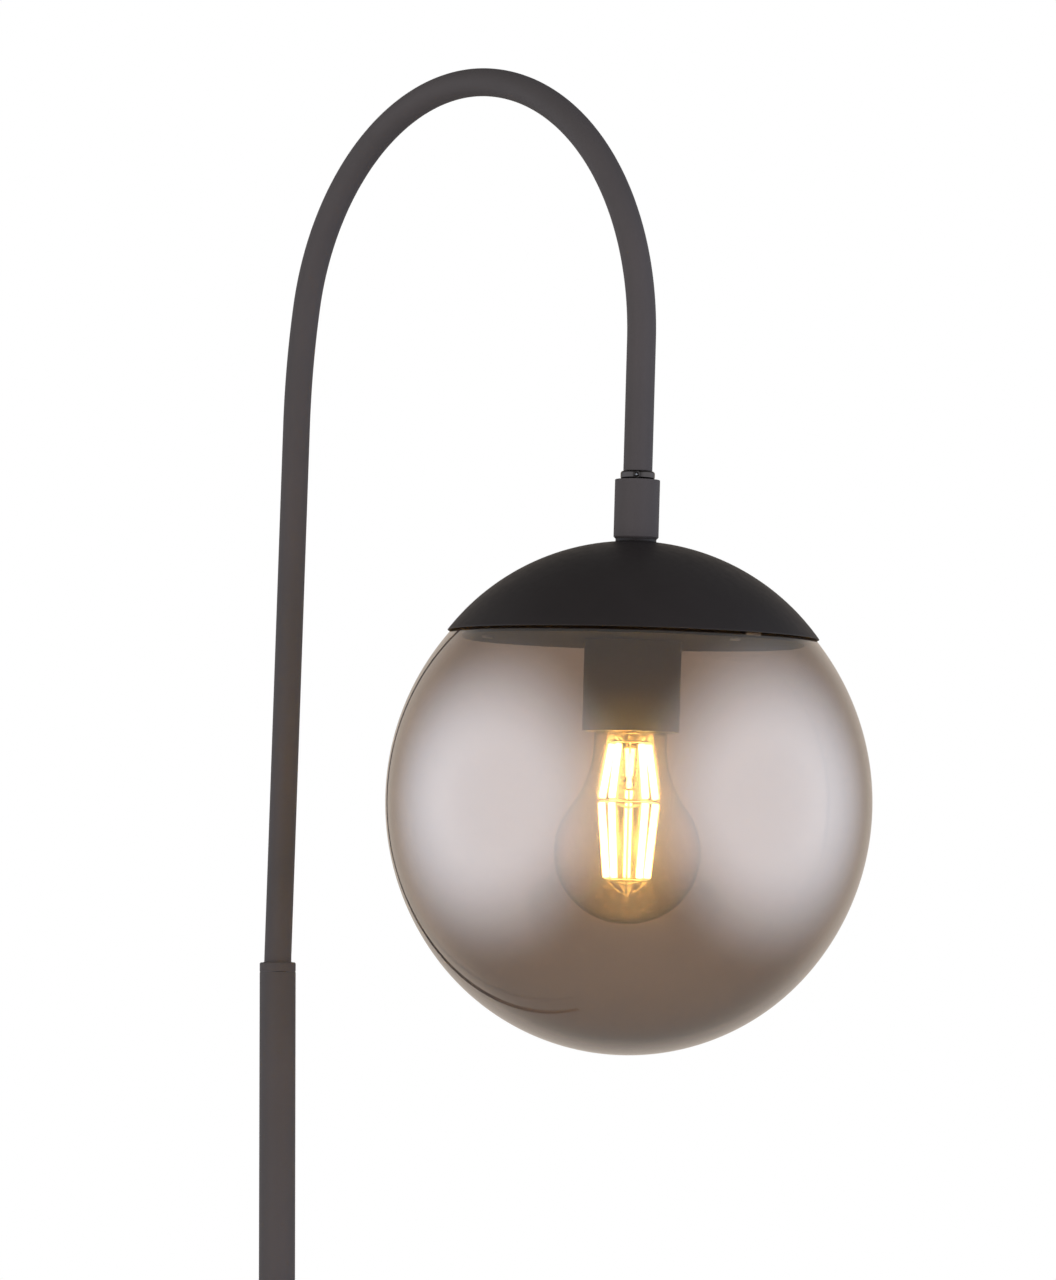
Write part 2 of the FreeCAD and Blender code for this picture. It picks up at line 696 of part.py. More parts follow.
# ---------------------------------------------------------------------------------------------
# Head: fixings, collar and cap
# ---------------------------------------------------------------------------------------------
def make_head_fixings():
    """The hollow nipple that everything hangs on, the glossy lock ring, the collar and the nuts."""
    nipple = sleeve("head_nipple", "nipple_bore_radius", "nipple_radius",
                    "-nipple_end_depth", "nipple_insert_length")
    ring = turned("lock_ring", by_depth([
        ("thread_bore", "lock_ring_height"),
        ("lock_ring_radius - lock_ring_round", "lock_ring_height"),
        ("lock_ring_radius", "lock_ring_height - lock_ring_round"),
        ("lock_ring_radius", "lock_ring_round"),
        ("lock_ring_radius - lock_ring_round", "0"),
        ("thread_bore", "0"),
    ]), {1: ("lock_ring_round", "left"), 3: ("lock_ring_round", "left")})
    middle = "-lock_ring_height / 2"
    round_hole(ring, "lock_screw_hole", "XZ_Plane", "0", "0", middle,
               "lock_screw_radius + thread_gap", "lock_ring_radius + cut_overrun",
               "lock_screw_bearing")
    stem = joined("Part::Compound", "lock_screw_stem", [cylinder(
        "lock_screw_cylinder", "lock_screw_radius",
        "lock_ring_radius + lock_screw_proud - thread_bore - thread_gap",
        along="-(thread_bore + thread_gap)", up=middle, axis=Vector(1, 0, 0), angle="90")])
    stem.Placement = turned_about(stem.Placement, Vector(0, 0, 1), "lock_screw_bearing")
    stem.setExpression(".Placement.Rotation.Angle", bound("lock_screw_bearing"))
    screw = joined("Part::Compound", "lock_screw", [stem])
    collar = turned("collar", by_depth([
        ("through_hole", "lock_ring_height"),
        ("through_hole", "neck_depth"),
        ("collar_radius - 2 * collar_edge", "neck_depth"),
        ("collar_radius", "neck_depth - 2 * collar_edge"),
        ("collar_radius", "lock_ring_height + collar_edge"),
        ("collar_radius - collar_edge", "lock_ring_height"),
    ]))
    neck = turned("neck_washer", by_depth([
        ("through_hole", "neck_depth"), ("neck_radius", "neck_depth"),
        ("neck_radius", "cap_depth"), ("through_hole", "cap_depth"),
    ]))
    top = "cap_depth + cap_wall"
    washer = turned("cap_washer", by_depth([
        ("through_hole", top), ("cap_washer_radius", top),
        ("cap_washer_radius", top + " + washer_thickness"),
        ("through_hole", top + " + washer_thickness"),
    ]))
    nut = hex_nut("cap_nut", "nut_height", f"-({top} + washer_thickness + nut_height)")
    half_nut = hex_nut("carrier_nut", "half_nut_height", "-(carrier_nut_depth + half_nut_height)")
    hang(nipple, ring, screw, collar, neck, washer, nut, half_nut)


def make_cap():
    """The spun cap: a flat land under the neck, then one sphere down to an open rim."""
    hang(turned("cap", by_depth([
        ("through_hole", "cap_depth"),
        ("through_hole", "cap_depth + cap_wall"),
        ("cap_inner_land", "cap_depth + cap_wall"),
        ("cap_inner_rim", "rim_depth"),
        ("cap_rim_radius", "rim_depth"),
        ("neck_radius", "cap_depth"),
    ]), {2: ("cap_inner", "right"), 4: ("cap_outer", "left")}))


# ---------------------------------------------------------------------------------------------
# Glass globe and the carrier that holds it
# ---------------------------------------------------------------------------------------------
def make_globe():
    """The blown globe: a wide ground mouth, sides a little flatter than a sphere, a thick bottom."""
    hang(turned("globe_glass", by_depth([
        ("0", "glass_depth + drop_inner"),
        ("0", "glass_depth + drop_outer"),
        ("bend_outer * glass_flattening - glass_flattening",
         "glass_depth + bend_outer * (drop_outer - round_outer)"),
        ("mouth_outer", "mouth_depth"),
        ("mouth_inner", "mouth_depth"),
        ("bend_inner * glass_flattening - glass_flattening",
         "glass_depth + bend_inner * (drop_inner - round_inner)"),
    ]), {1: ("round_outer", "left"), 2: ("side_outer", "left"),
         4: ("side_inner", "right"), 5: ("round_inner", "right")}))


def make_carrier():
    """The pressed carrier under the cap, its three spring clips and their rivets."""
    sheet = "carrier_sheet"
    carrier = turned("glass_carrier", by_depth([
        ("through_hole", f"cup_depth - {sheet}"),
        ("through_hole", "cup_depth"),
        ("cup_radius + cup_side_gap", "cup_depth"),
        ("cup_radius + cup_side_gap", "floor_depth"),
        ("skirt_radius", "floor_depth"),
        ("skirt_radius", "mouth_depth"),
        ("carrier_flange_radius", "mouth_depth"),
        ("carrier_flange_radius", f"mouth_depth - {sheet}"),
        (f"skirt_radius - {sheet}", f"mouth_depth - {sheet}"),
        (f"skirt_radius - {sheet}", f"floor_depth - {sheet}"),
        (f"cup_radius + cup_side_gap + {sheet}", f"floor_depth - {sheet}"),
        (f"cup_radius + cup_side_gap + {sheet}", f"cup_depth - {sheet}"),
    ]))
    slot = new_sketch(carrier, "clip_slot", "YZ_Plane")
    slot.AttachmentOffset.Base = Vector(0, 0, value("clip_leg_radius"))
    slot.setExpression(".AttachmentOffset.Base.z", bound("clip_leg_radius"))
    sketch_box(slot, "-(clip_width / 2 + clip_slot_gap)", f"-(floor_depth - {sheet})",
               "clip_width / 2 + clip_slot_gap",
               f"-(floor_depth - {sheet} - clip_sheet - clip_slot_gap)")
    slot_cut = pocket(carrier, slot, "skirt_radius - clip_leg_radius + cut_overrun", True)
    rivet_hole = ("XY_Plane", "-floor_depth - cut_overrun", "rivet_circle_radius", "0",
                  "rivet_radius + thread_gap", "carrier_sheet + 2 * cut_overrun")
    hole_cut = round_hole(carrier, "rivet_hole", *rivet_hole)
    about_z(carrier, [slot_cut, hole_cut], CLIP_COUNT)

    clips = new_body("glass_clips")
    clips.AllowCompound = True
    strip = new_sketch(clips, "clip_side")
    draw_chain(strip, by_depth([
        ("clip_leg_radius", f"floor_depth - {sheet}"),
        ("clip_leg_radius", f"floor_depth - {sheet} - clip_sheet"),
        ("clip_tip_radius - clip_sheet", f"floor_depth - {sheet} - clip_sheet"),
        ("clip_tip_radius - clip_sheet", f"floor_depth - {sheet} - clip_tip_height"),
        ("clip_tip_radius", f"floor_depth - {sheet} - clip_tip_height"),
        ("clip_tip_radius", f"floor_depth - {sheet}"),
    ]), {}, True)
    leaf = clips.newObject("PartDesign::Pad", "clip_leaf")
    leaf.Profile = strip
    leaf.Length = value("clip_width")
    leaf.setExpression("Length", bound("clip_width"))
    leaf.Midplane = True
    bore_cut = round_hole(clips, "clip_bore", *rivet_hole)
    about_z(clips, [leaf, bore_cut], CLIP_COUNT)

    rivets = []
    for index in range(CLIP_COUNT):
        bearing = f"{index} * {FULL_TURN} / {CLIP_COUNT}"
        spot = {"across": f"rivet_circle_radius * cos({bearing})",
                "along": f"rivet_circle_radius * sin({bearing})"}
        stem = cylinder(f"rivet_stem_{index}", "rivet_radius",
                        f"{sheet} + clip_sheet", up="-floor_depth", **spot)
        under = cylinder(f"rivet_foot_{index}", "rivet_head_radius", "rivet_head_height",
                         up="-floor_depth - rivet_head_height", **spot)
        over = cylinder(f"rivet_head_{index}", "rivet_head_radius", "rivet_head_height",
                        up=f"-floor_depth + {sheet} + clip_sheet", **spot)
        rivets.append(joined("Part::MultiFuse", f"rivet_{index}", [stem, under, over]))
    hang(carrier, clips, joined("Part::Compound", "clip_rivets", rivets))


# ---------------------------------------------------------------------------------------------
# Lampholder
# ---------------------------------------------------------------------------------------------
def make_lampholder():
    """The outer cup, the two insulating bodies, the screw shell and the contacts."""
    cup = turned("lampholder_cup", by_depth([
        ("through_hole", "cup_depth"),
        ("through_hole", "cup_depth + cup_wall"),
        ("cup_radius - cup_wall", "cup_depth + cup_wall"),
        ("cup_radius - cup_wall", "cup_lower_depth"),
        ("cup_radius", "cup_lower_depth"),
        ("cup_radius", "cup_depth"),
    ]))
    top = "cup_depth + cup_wall"
    upper = turned("lampholder_top", by_depth([
        ("thread_bore", top),
        ("thread_bore", f"{top} + holder_neck_length"),
        ("holder_neck_radius", f"{top} + holder_neck_length"),
        ("holder_neck_radius", f"{top} + holder_wall"),
        ("holder_bore - holder_shoulder + holder_wall", f"{top} + holder_wall"),
        ("holder_bore", f"{top} + holder_shoulder"),
        ("holder_bore", "holder_split_depth"),
        ("holder_radius", "holder_split_depth"),
        ("holder_radius", f"{top} + holder_shoulder"),
        ("holder_radius - holder_shoulder", top),
    ]))
    lower = turned("lampholder_body", by_depth([
        ("socket_bore", "holder_split_depth"),
        ("socket_bore", "holder_end_depth"),
        ("holder_radius", "holder_end_depth"),
        ("holder_radius", "holder_split_depth"),
    ]))
    shell = turned("screw_shell", by_depth([
        ("shell_inner", "block_depth"),
        ("shell_inner", "holder_end_depth - shell_end_gap"),
        ("shell_outer", "holder_end_depth - shell_end_gap"),
        ("shell_outer", "block_depth"),
    ]))
    block = turned("contact_block", by_depth([
        ("0", "holder_split_depth"), ("0", "block_depth"),
        ("socket_bore - block_gap", "block_depth"),
        ("socket_bore - block_gap", "holder_split_depth"),
    ]))
    contact = new_body("centre_contact")
    side = new_sketch(contact, "contact_side")
    draw_chain(side, by_depth([
        ("-terminal_offset", "block_depth"),
        ("-terminal_offset", "block_depth + contact_strip"),
        ("-terminal_offset / 2", "block_depth + contact_strip"),
        ("0", "contact_depth"),
        ("tip_radius", "contact_depth"),
        ("tip_radius", "contact_depth - contact_strip"),
        ("contact_strip / 2", "contact_depth - contact_strip"),
        ("-terminal_offset / 2 + contact_strip", "block_depth"),
    ]), {}, True)
    strip = contact.newObject("PartDesign::Pad", "contact_strip_pad")
    strip.Profile = side
    strip.Length = value("contact_width")
    strip.setExpression("Length", bound("contact_width"))
    strip.Midplane = True

    terminals = []
    cores = []
    for name, sign in (("left", "-"), ("right", "")):
        offset = sign + "terminal_offset"
        terminals.append(cylinder(
            f"terminal_{name}", "terminal_radius", "terminal_height",
            across=offset, up="-holder_split_depth"))
        reach = "(holder_split_depth - terminal_height - lead_end_depth - core_radius)"
        spread = f"atan(({offset} - {sign}core_radius) / {reach})"
        cores.append(cylinder(
            f"core_{name}", "core_radius", f"{reach} - 2 * core_radius",
            across=f"{sign}core_spacing", up="-lead_end_depth - core_radius / 2",
            axis=Vector(0, 1, 0), angle=f"180 deg - {spread}"))
    hang(cup, upper, lower, shell, block, contact,
         joined("Part::Compound", "terminal_screws", terminals),
         joined("Part::Compound", "lead_cores", cores))


# ---------------------------------------------------------------------------------------------
# Filament bulb
# ---------------------------------------------------------------------------------------------
def bulb_envelope():
    """The thin glass envelope: ball, drawn-in neck and rounded shoulder."""
    wall = "bulb_glass_wall"
    reach = "(bulb_neck_blend + bulb_radius)"
    rise = "(bulb_centre - blend_centre)"
    return turned("bulb_glass", by_depth([
        ("0", f"bulb_end_depth - {wall}"),
        ("0", "bulb_end_depth"),
        ("bulb_radius", "bulb_centre"),
        (f"bulb_radius * blend_radial / {reach}", f"bulb_centre - bulb_radius * {rise} / {reach}"),
        ("bulb_neck_radius", "blend_centre"),
        ("bulb_neck_radius", "shoulder_depth + bulb_shoulder_round"),
        ("bulb_neck_radius - bulb_shoulder_round", "shoulder_depth"),
        ("bulb_mouth_radius", "shoulder_depth"),
        ("bulb_mouth_radius", f"shoulder_depth + {wall}"),
        (f"bulb_neck_radius - {wall}", "shoulder_depth + bulb_shoulder_round"),
        (f"bulb_neck_radius - {wall}", "blend_centre"),
        (f"(bulb_radius - {wall}) * blend_radial / {reach}",
         f"bulb_centre - (bulb_radius - {wall}) * {rise} / {reach}"),
        (f"bulb_radius - {wall}", "bulb_centre"),
    ]), {1: ("bulb_radius", "left"), 2: ("bulb_radius", "left"),
         3: ("bulb_neck_blend", "right"), 5: ("bulb_shoulder_round", "left"),
         10: (f"bulb_neck_blend + {wall}", "left"),
         11: (f"bulb_radius - {wall}", "right"), 12: (f"bulb_radius - {wall}", "right")})


def filament_tier(tier, first_ring, second_ring, turn):
    """One tier of straight filaments between two of the support rings."""
    drop = f"({second_ring}_depth - {first_ring}_depth)"
    flare = f"({second_ring}_radius - {first_ring}_radius)"
    rods = []
    for index in range(FILAMENTS_PER_TIER):
        bearing = turn + index * FULL_TURN / FILAMENTS_PER_TIER
        lean = math.degrees(math.atan(value(flare) / value(drop)))
        rod = doc.addObject("Part::Cylinder", f"filament_{tier}_{index}")
        rod.setExpression("Radius", bound("filament_radius"))
        rod.setExpression("Height", bound(f"sqrt({drop}^2 + {flare}^2) - 4 * wire_radius"))
        aim = FreeCAD.Rotation(Vector(0, 0, 1), bearing)
        rod.Placement = FreeCAD.Placement(
            Vector(), aim * FreeCAD.Rotation(Vector(0, 1, 0), 180 - lean))
        foot = f"({first_ring}_radius + 2 * wire_radius * {flare} / {drop})"
        rod.setExpression(".Placement.Base.x", bound(f"{foot} * cos({bearing})"))
        rod.setExpression(".Placement.Base.y", bound(f"{foot} * sin({bearing})"))
        rod.setExpression(".Placement.Base.z", bound(f"-({first_ring}_depth + 2 * wire_radius)"))
        rods.append(rod)
    return rods


def support_ring(place):
    """A wire ring that joins the ends of a tier of filaments."""
    ring = doc.addObject("Part::Torus", place + "_ring")
    ring.setExpression("Radius1", bound(place + "_ring_radius"))
    ring.setExpression("Radius2", bound("wire_radius"))
    ring.setExpression(".Placement.Base.z", bound(f"-{place}_ring_depth"))
    return ring


def ring_spokes(place, inner):
    """Wires from a support ring in to the post, or to the stem at a stated radius."""
    spokes = []
    for index in range(FILAMENTS_PER_TIER):
        bearing = (index + 0.5) * FULL_TURN / FILAMENTS_PER_TIER
        spoke = doc.addObject("Part::Cylinder", f"spoke_{place}_{index}")
        spoke.setExpression("Radius", bound("wire_radius"))
        spoke.setExpression("Height", bound(f"{place}_ring_radius - ({inner})"))
        aim = FreeCAD.Rotation(Vector(0, 0, 1), bearing)
        spoke.Placement = FreeCAD.Placement(
            Vector(), aim * FreeCAD.Rotation(Vector(0, 1, 0), 90))
        spoke.setExpression(".Placement.Base.x", bound(f"({inner}) * cos({bearing})"))
        spoke.setExpression(".Placement.Base.y", bound(f"({inner}) * sin({bearing})"))
        spoke.setExpression(".Placement.Base.z", bound(f"-{place}_ring_depth"))
        spokes.append(spoke)
    return spokes


def make_bulb():
    """The screw cap, its insulator and tip, the envelope, the stem, the wires and the filaments."""
    cap = turned("bulb_screw_cap", by_depth([
        ("screw_cap_radius - screw_cap_wall", "screw_cap_depth"),
        ("screw_cap_radius - screw_cap_wall", "shoulder_depth"),
        ("screw_cap_radius", "shoulder_depth"),
        ("screw_cap_radius", "screw_cap_depth"),
    ]))
    insulator = turned("bulb_insulator", by_depth([
        ("0", "insulator_depth"),
        ("0", "screw_cap_depth"),
        ("screw_cap_radius", "screw_cap_depth"),
        ("tip_radius", "insulator_depth"),
    ]))
    tip = turned("bulb_tip", by_depth([
        ("0", "tip_depth"), ("0", "insulator_depth"),
        ("tip_radius", "insulator_depth"), ("tip_radius - tip_height", "tip_depth"),
    ]))
    stem = turned("bulb_stem", by_depth([
        ("0", "shoulder_depth"),
        ("0", "shoulder_depth + stem_length"),
        ("stem_radius", "shoulder_depth + stem_length - stem_radius"),
        ("stem_radius", "shoulder_depth + stem_flare_height"),
        ("bulb_mouth_radius - stem_gap", "shoulder_depth"),
    ]), {1: ("stem_radius", "left"), 3: ("stem_flare_radius", "right")})
    rings = [support_ring(place) for place in ("upper", "middle", "lower")]
    post = cylinder("support_post", "wire_radius",
                    "lower_ring_depth + support_tail_length - shoulder_depth - stem_length",
                    up="-(lower_ring_depth + support_tail_length)")
    spokes = (ring_spokes("upper", "stem_radius + stem_wire_gap") + ring_spokes("middle", "0")
              + ring_spokes("lower", "0"))
    wires = joined("Part::MultiFuse", "bulb_wires", rings + [post] + spokes)
    rods = (filament_tier("upper", "upper_ring", "middle_ring", 0)
            + filament_tier("lower", "middle_ring", "lower_ring", 0))
    hang(cap, insulator, tip, bulb_envelope(), stem, wires,
         joined("Part::Compound", "bulb_filaments", rods))


# ---------------------------------------------------------------------------------------------
# Build, check and write
# ---------------------------------------------------------------------------------------------
def check_and_write():
    """Recompute, stop on any failed object or bad shape, and write one file per piece."""
    doc.recompute()
    failed = [item.Name for item in doc.Objects
              if "Invalid" in item.State or "Error" in item.State]
    if failed:
        raise RuntimeError("failed objects: " + ", ".join(failed))
    broken = [piece.Label for piece in pieces
              if piece.Shape.isNull() or not piece.Shape.isValid() or not piece.Shape.Solids]
    if broken:
        raise RuntimeError("bad shapes: " + ", ".join(broken))
    os.makedirs("parts", exist_ok=True)
    for piece in pieces:
        piece.Shape.exportStep(f"parts/{piece.Label}.step")
        print(f"{piece.Label:18s} solids {len(piece.Shape.Solids):2d}"
              f"  volume {piece.Shape.Volume:12.1f} mm3")


make_foot()
make_pole()
make_arm()
make_head_fixings()
make_cap()
make_globe()
make_carrier()
make_lampholder()
make_bulb()
check_and_write()
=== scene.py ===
"""Looks of the globe floor lamp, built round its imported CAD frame.

Everything is in metres in the frame of the CAD: the origin is the middle of the foot's underside,
+Z is up and the arm reaches along +X. Sizes and outlines are in millimetres. A turned piece is
drawn about its own axis by radius and by depth: on the pole's axis a height is a negative depth,
and on the head's, which hangs a little out of plumb, depths run down from the end of the arm tube.
"""
from __future__ import annotations

import json
import logging
import math
from dataclasses import dataclass, field
from enum import Enum
from typing import Any, ClassVar, Sequence

import bpy
import numpy as np
from bpy.types import Material, Node, NodeSocket, NodeTree, Object
from mathutils import Matrix, Vector

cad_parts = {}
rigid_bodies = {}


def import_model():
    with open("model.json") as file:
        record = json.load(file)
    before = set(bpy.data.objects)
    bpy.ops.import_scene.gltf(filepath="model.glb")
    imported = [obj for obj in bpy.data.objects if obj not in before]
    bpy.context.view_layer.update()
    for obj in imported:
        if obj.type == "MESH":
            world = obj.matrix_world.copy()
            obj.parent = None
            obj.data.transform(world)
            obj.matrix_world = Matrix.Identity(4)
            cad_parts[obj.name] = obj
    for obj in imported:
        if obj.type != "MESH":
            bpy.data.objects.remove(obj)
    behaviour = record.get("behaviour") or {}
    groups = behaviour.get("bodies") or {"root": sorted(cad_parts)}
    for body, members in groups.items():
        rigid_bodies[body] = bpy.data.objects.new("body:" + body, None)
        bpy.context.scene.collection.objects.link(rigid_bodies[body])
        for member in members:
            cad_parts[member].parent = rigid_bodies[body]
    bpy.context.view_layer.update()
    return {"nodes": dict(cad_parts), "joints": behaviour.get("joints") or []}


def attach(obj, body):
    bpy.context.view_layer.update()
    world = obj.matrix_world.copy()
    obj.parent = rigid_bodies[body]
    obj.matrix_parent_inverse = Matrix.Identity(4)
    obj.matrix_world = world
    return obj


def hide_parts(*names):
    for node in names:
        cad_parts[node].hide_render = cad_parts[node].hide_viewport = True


log = logging.getLogger("globe_floor_lamp")

MM = 0.001
# Between these two values noise spends nearly all of its area.
NOISE_LOW, NOISE_HIGH = 0.25, 0.75


# ---------- Colour and shader nodes ----------
def linear(hex_colour: str) -> tuple[float, float, float, float]:
    """Turn an sRGB colour into the linear one that shaders work in.

    Args:
        hex_colour: the colour as "#RRGGBB".

    Returns:
        Red, green, blue and an alpha of one.
    """
    channels = [int(hex_colour[i:i + 2], 16) / 255 for i in (1, 3, 5)]
    lit = [c / 12.92 if c <= 0.04045 else ((c + 0.055) / 1.055) ** 2.4 for c in channels]
    return (lit[0], lit[1], lit[2], 1.0)


def add_node(tree: NodeTree, kind: str, settings: dict[str, Any] | None = None,
             values: dict[Any, Any] | None = None,
             links: dict[Any, Node | NodeSocket] | None = None) -> Node:
    """Add one node with its settings, its input values and what feeds it.

    Args:
        tree: the node tree to add to.
        kind: the node's type name.
        settings: attributes of the node.
        values: plain values of inputs, by name or number.
        links: what feeds an input: a socket, or a node whose first output it is.

    Returns:
        The new node.
    """
    node = tree.nodes.new(kind)
    for name, setting in (settings or {}).items():
        setattr(node, name, setting)
    for key, value in (values or {}).items():
        node.inputs[key].default_value = value
    for key, feed in (links or {}).items():
        tree.links.new(feed.outputs[0] if isinstance(feed, Node) else feed, node.inputs[key])
    return node


def new_material(name: str) -> tuple[Material, NodeTree]:
    """Make a material whose node tree is empty.

    Args:
        name: the material's name.

    Returns:
        The material and its node tree.
    """
    material = bpy.data.materials.new(name)
    material.use_nodes = True
    material.node_tree.nodes.clear()
    return material, material.node_tree


class Grain(Enum):
    """How a surface was made, as factors on Object coordinates: low where its grain runs long."""

    EVEN = (1.0, 1.0, 1.0)
    DRAWN = (1.0, 1.0, 0.04)
    TURNED = (0.06, 0.06, 1.0)


def object_noise(tree: NodeTree, spacing_mm: float, grain: Grain = Grain.EVEN,
                 detail: float = 2.0, span: tuple[float, float] | None = None) -> NodeSocket:
    """Noise on Object coordinates whose features lie a stated distance apart.

    Args:
        tree: the node tree to add to.
        spacing_mm: distance between features.
        grain: the direction that the features are drawn out in.
        detail: octaves of finer noise.
        span: the two values that the noise is stretched over, if it is.

    Returns:
        The noise's value, around one half if it isn't stretched.
    """
    place = add_node(tree, "ShaderNodeTexCoord")
    drawn_out = add_node(tree, "ShaderNodeMapping", values={"Scale": grain.value},
                         links={"Vector": place.outputs["Object"]})
    noise = add_node(tree, "ShaderNodeTexNoise",
                     values={"Scale": 1 / (spacing_mm * MM), "Detail": detail},
                     links={"Vector": drawn_out}).outputs["Fac"]
    if span is None:
        return noise
    return add_node(tree, "ShaderNodeMapRange",
                    values={"From Min": NOISE_LOW, "From Max": NOISE_HIGH,
                            "To Min": span[0], "To Max": span[1]},
                    links={"Value": noise}).outputs["Result"]


@dataclass(frozen=True)
class Finish:
    """One finish of the lamp, with a colour that varies slightly and a grain that can be felt."""

    name: str
    slot: str
    colour: str
    shade: str
    roughness: float
    metallic: float = 0.0
    shine: float = 0.5
    ior: float = 1.5
    grain: Grain = Grain.EVEN
    grain_mm: float = 0.8
    grain_height_mm: float = 0.01
    patch_mm: float = 30.0
    patch_detail: float = 3.0
    smear: float = 4.0
    roughness_spread: float = 0.04

    def material(self) -> Material:
        """Build the finish: a patchy colour, gloss uneven over smears of the grain, a fine bump.

        Returns:
            The material.
        """
        material, tree = new_material(self.name)
        patches = object_noise(tree, self.patch_mm, self.grain, self.patch_detail, (0.0, 1.0))
        colour = add_node(tree, "ShaderNodeMix", {"data_type": "RGBA"},
                          {6: linear(self.colour), 7: linear(self.shade)}, {0: patches})
        gloss = object_noise(tree, self.grain_mm * self.smear, self.grain,
                             span=(self.roughness - self.roughness_spread,
                                   self.roughness + self.roughness_spread))
        bump = add_node(tree, "ShaderNodeBump",
                        values={"Strength": 1.0, "Distance": self.grain_height_mm * MM},
                        links={"Height": object_noise(tree, self.grain_mm, self.grain)})
        surface = add_node(tree, "ShaderNodeBsdfPrincipled",
                           values={"Metallic": self.metallic, "IOR": self.ior,
                                   "Specular IOR Level": self.shine},
                           links={"Base Color": colour.outputs[2], "Roughness": gloss,
                                  "Normal": bump})
        add_node(tree, "ShaderNodeOutputMaterial", links={"Surface": surface})
        return material


@dataclass(frozen=True)
class Glass:
    """Blown soda-lime glass, tinted by its faces and by its body, so that it darkens edge on.

    A small share of the light is scattered a little, as by any glass that isn't freshly wiped, and
    that gives the lit filaments their glow.
    """

    name: str
    slot: str
    tint: str
    body: str
    density: float
    ior: float
    haze: float
    haze_roughness: float = 0.3
    skin: float = 0.0
    skin_ior: float = 2.0
    skin_roughness: float = 0.04
    ripple_mm: float = 0.0
    ripple_height_mm: float = 0.02

    def material(self) -> Material:
        """Build the glass: sharp and slightly rough transmission, mixed, and absorption within.

        Light from lamps passes straight through, tinted, so that what is inside is lit. A wall has
        two faces, so each gives such light the square root of the tint.

        Returns:
            The material.
        """
        material, tree = new_material(self.name)
        values = {"Base Color": linear(self.tint), "IOR": self.ior, "Transmission Weight": 1.0,
                  "Coat Weight": self.skin, "Coat IOR": self.skin_ior,
                  "Coat Roughness": self.skin_roughness}
        links = {}
        if self.ripple_mm > 0:
            links["Normal"] = add_node(
                tree, "ShaderNodeBump",
                values={"Strength": 1.0, "Distance": self.ripple_height_mm * MM},
                links={"Height": object_noise(tree, self.ripple_mm)})
        clear, hazy = (add_node(tree, "ShaderNodeBsdfPrincipled",
                                values=values | {"Roughness": roughness}, links=links)
                       for roughness in (0.0, self.haze_roughness))
        glass = add_node(tree, "ShaderNodeMixShader", values={"Fac": self.haze},
                         links={1: clear, 2: hazy})
        path = add_node(tree, "ShaderNodeLightPath")
        open_way = add_node(tree, "ShaderNodeBsdfTransparent",
                            values={"Color": [math.sqrt(c) for c in linear(self.tint)]})
        shown = add_node(tree, "ShaderNodeMixShader",
                         links={0: path.outputs["Is Shadow Ray"], 1: glass, 2: open_way})
        within = add_node(tree, "ShaderNodeVolumeAbsorption",
                          values={"Color": linear(self.body), "Density": self.density})
        add_node(tree, "ShaderNodeOutputMaterial", links={"Surface": shown, "Volume": within})
        return material


@dataclass(frozen=True)
class LitPhosphor:
    """The silicone and phosphor coat of a filament strip while it is lit."""

    name: str
    slot: str
    body: str
    light: str
    strength: float
    unevenness: float = 0.15
    roughness: float = 0.6
    speckle_mm: float = 0.9

    def material(self) -> Material:
        """Build the coat: grains of phosphor that glow a little unevenly.

        Returns:
            The material.
        """
        material, tree = new_material(self.name)
        glow = object_noise(tree, self.speckle_mm,
                            span=(self.strength * (1 - self.unevenness),
                                  self.strength * (1 + self.unevenness)))
        coat = add_node(tree, "ShaderNodeBsdfPrincipled",
                        values={"Base Color": linear(self.body), "Roughness": self.roughness,
                                "Emission Color": linear(self.light)},
                        links={"Emission Strength": glow})
        add_node(tree, "ShaderNodeOutputMaterial", links={"Surface": coat})
        return material


Look = Finish | Glass | LitPhosphor


def dressing(look: Look) -> Material:
    """The material of a look, built when it is first asked for."""
    return bpy.data.materials.get(look.name) or look.material()


# ---------- Finishes ----------
# Polyester powder coat, matt, on steel: warm near-black, with the soft orange peel of cured powder.
POLE_COAT = Finish("powder_coat_anthracite", "coat", "#494647", "#4E4A4B", 0.52, shine=0.06,
                   grain_mm=1.1, grain_height_mm=0.012, patch_mm=45)
# The same powder coat as the cap, on the lampholder's cup, with painted light: it is made browner
# and lighter for the bulb's warm light that falls on the cup.
PAINTED_LIT_CUP_COAT = Finish("cap_coat_painted_lit_cup", "cap_coat", "#544F4A", "#5A544F", 0.5, shine=0.05,
                  grain_mm=0.9, patch_mm=25)
# The same process in a deader matt on the spun cap and the pressings inside it.
CAP_COAT = Finish("powder_coat_black", "cap_coat", "#252222", "#2A2727", 0.45, shine=0.11,
                  grain_mm=0.9, grain_height_mm=0.012, patch_mm=35)
# Black nickel plating over a polished turned part: dark, warm, and sharp in its reflections.
BLACK_NICKEL = Finish("black_nickel_plate", "black_nickel", "#3E3936", "#363230", 0.06,
                      metallic=1.0, grain=Grain.TURNED, grain_mm=0.3, grain_height_mm=0.001,
                      patch_mm=6, roughness_spread=0.03)
# Bright zinc plating on machine fixings: bluish grey, with fine turning marks.
ZINC = Finish("zinc_plated_steel", "zinc_steel", "#B9BBBC", "#A6A8AA", 0.32, metallic=1.0,
              grain=Grain.TURNED, grain_mm=0.25, grain_height_mm=0.004, patch_mm=8)
# Half-hard brass of the contacts and terminals, stamped and turned.
BRASS = Finish("brass_turned", "brass", "#C9A35C", "#B58F4C", 0.28, metallic=1.0,
               grain=Grain.TURNED, grain_mm=0.25, grain_height_mm=0.003, patch_mm=6)
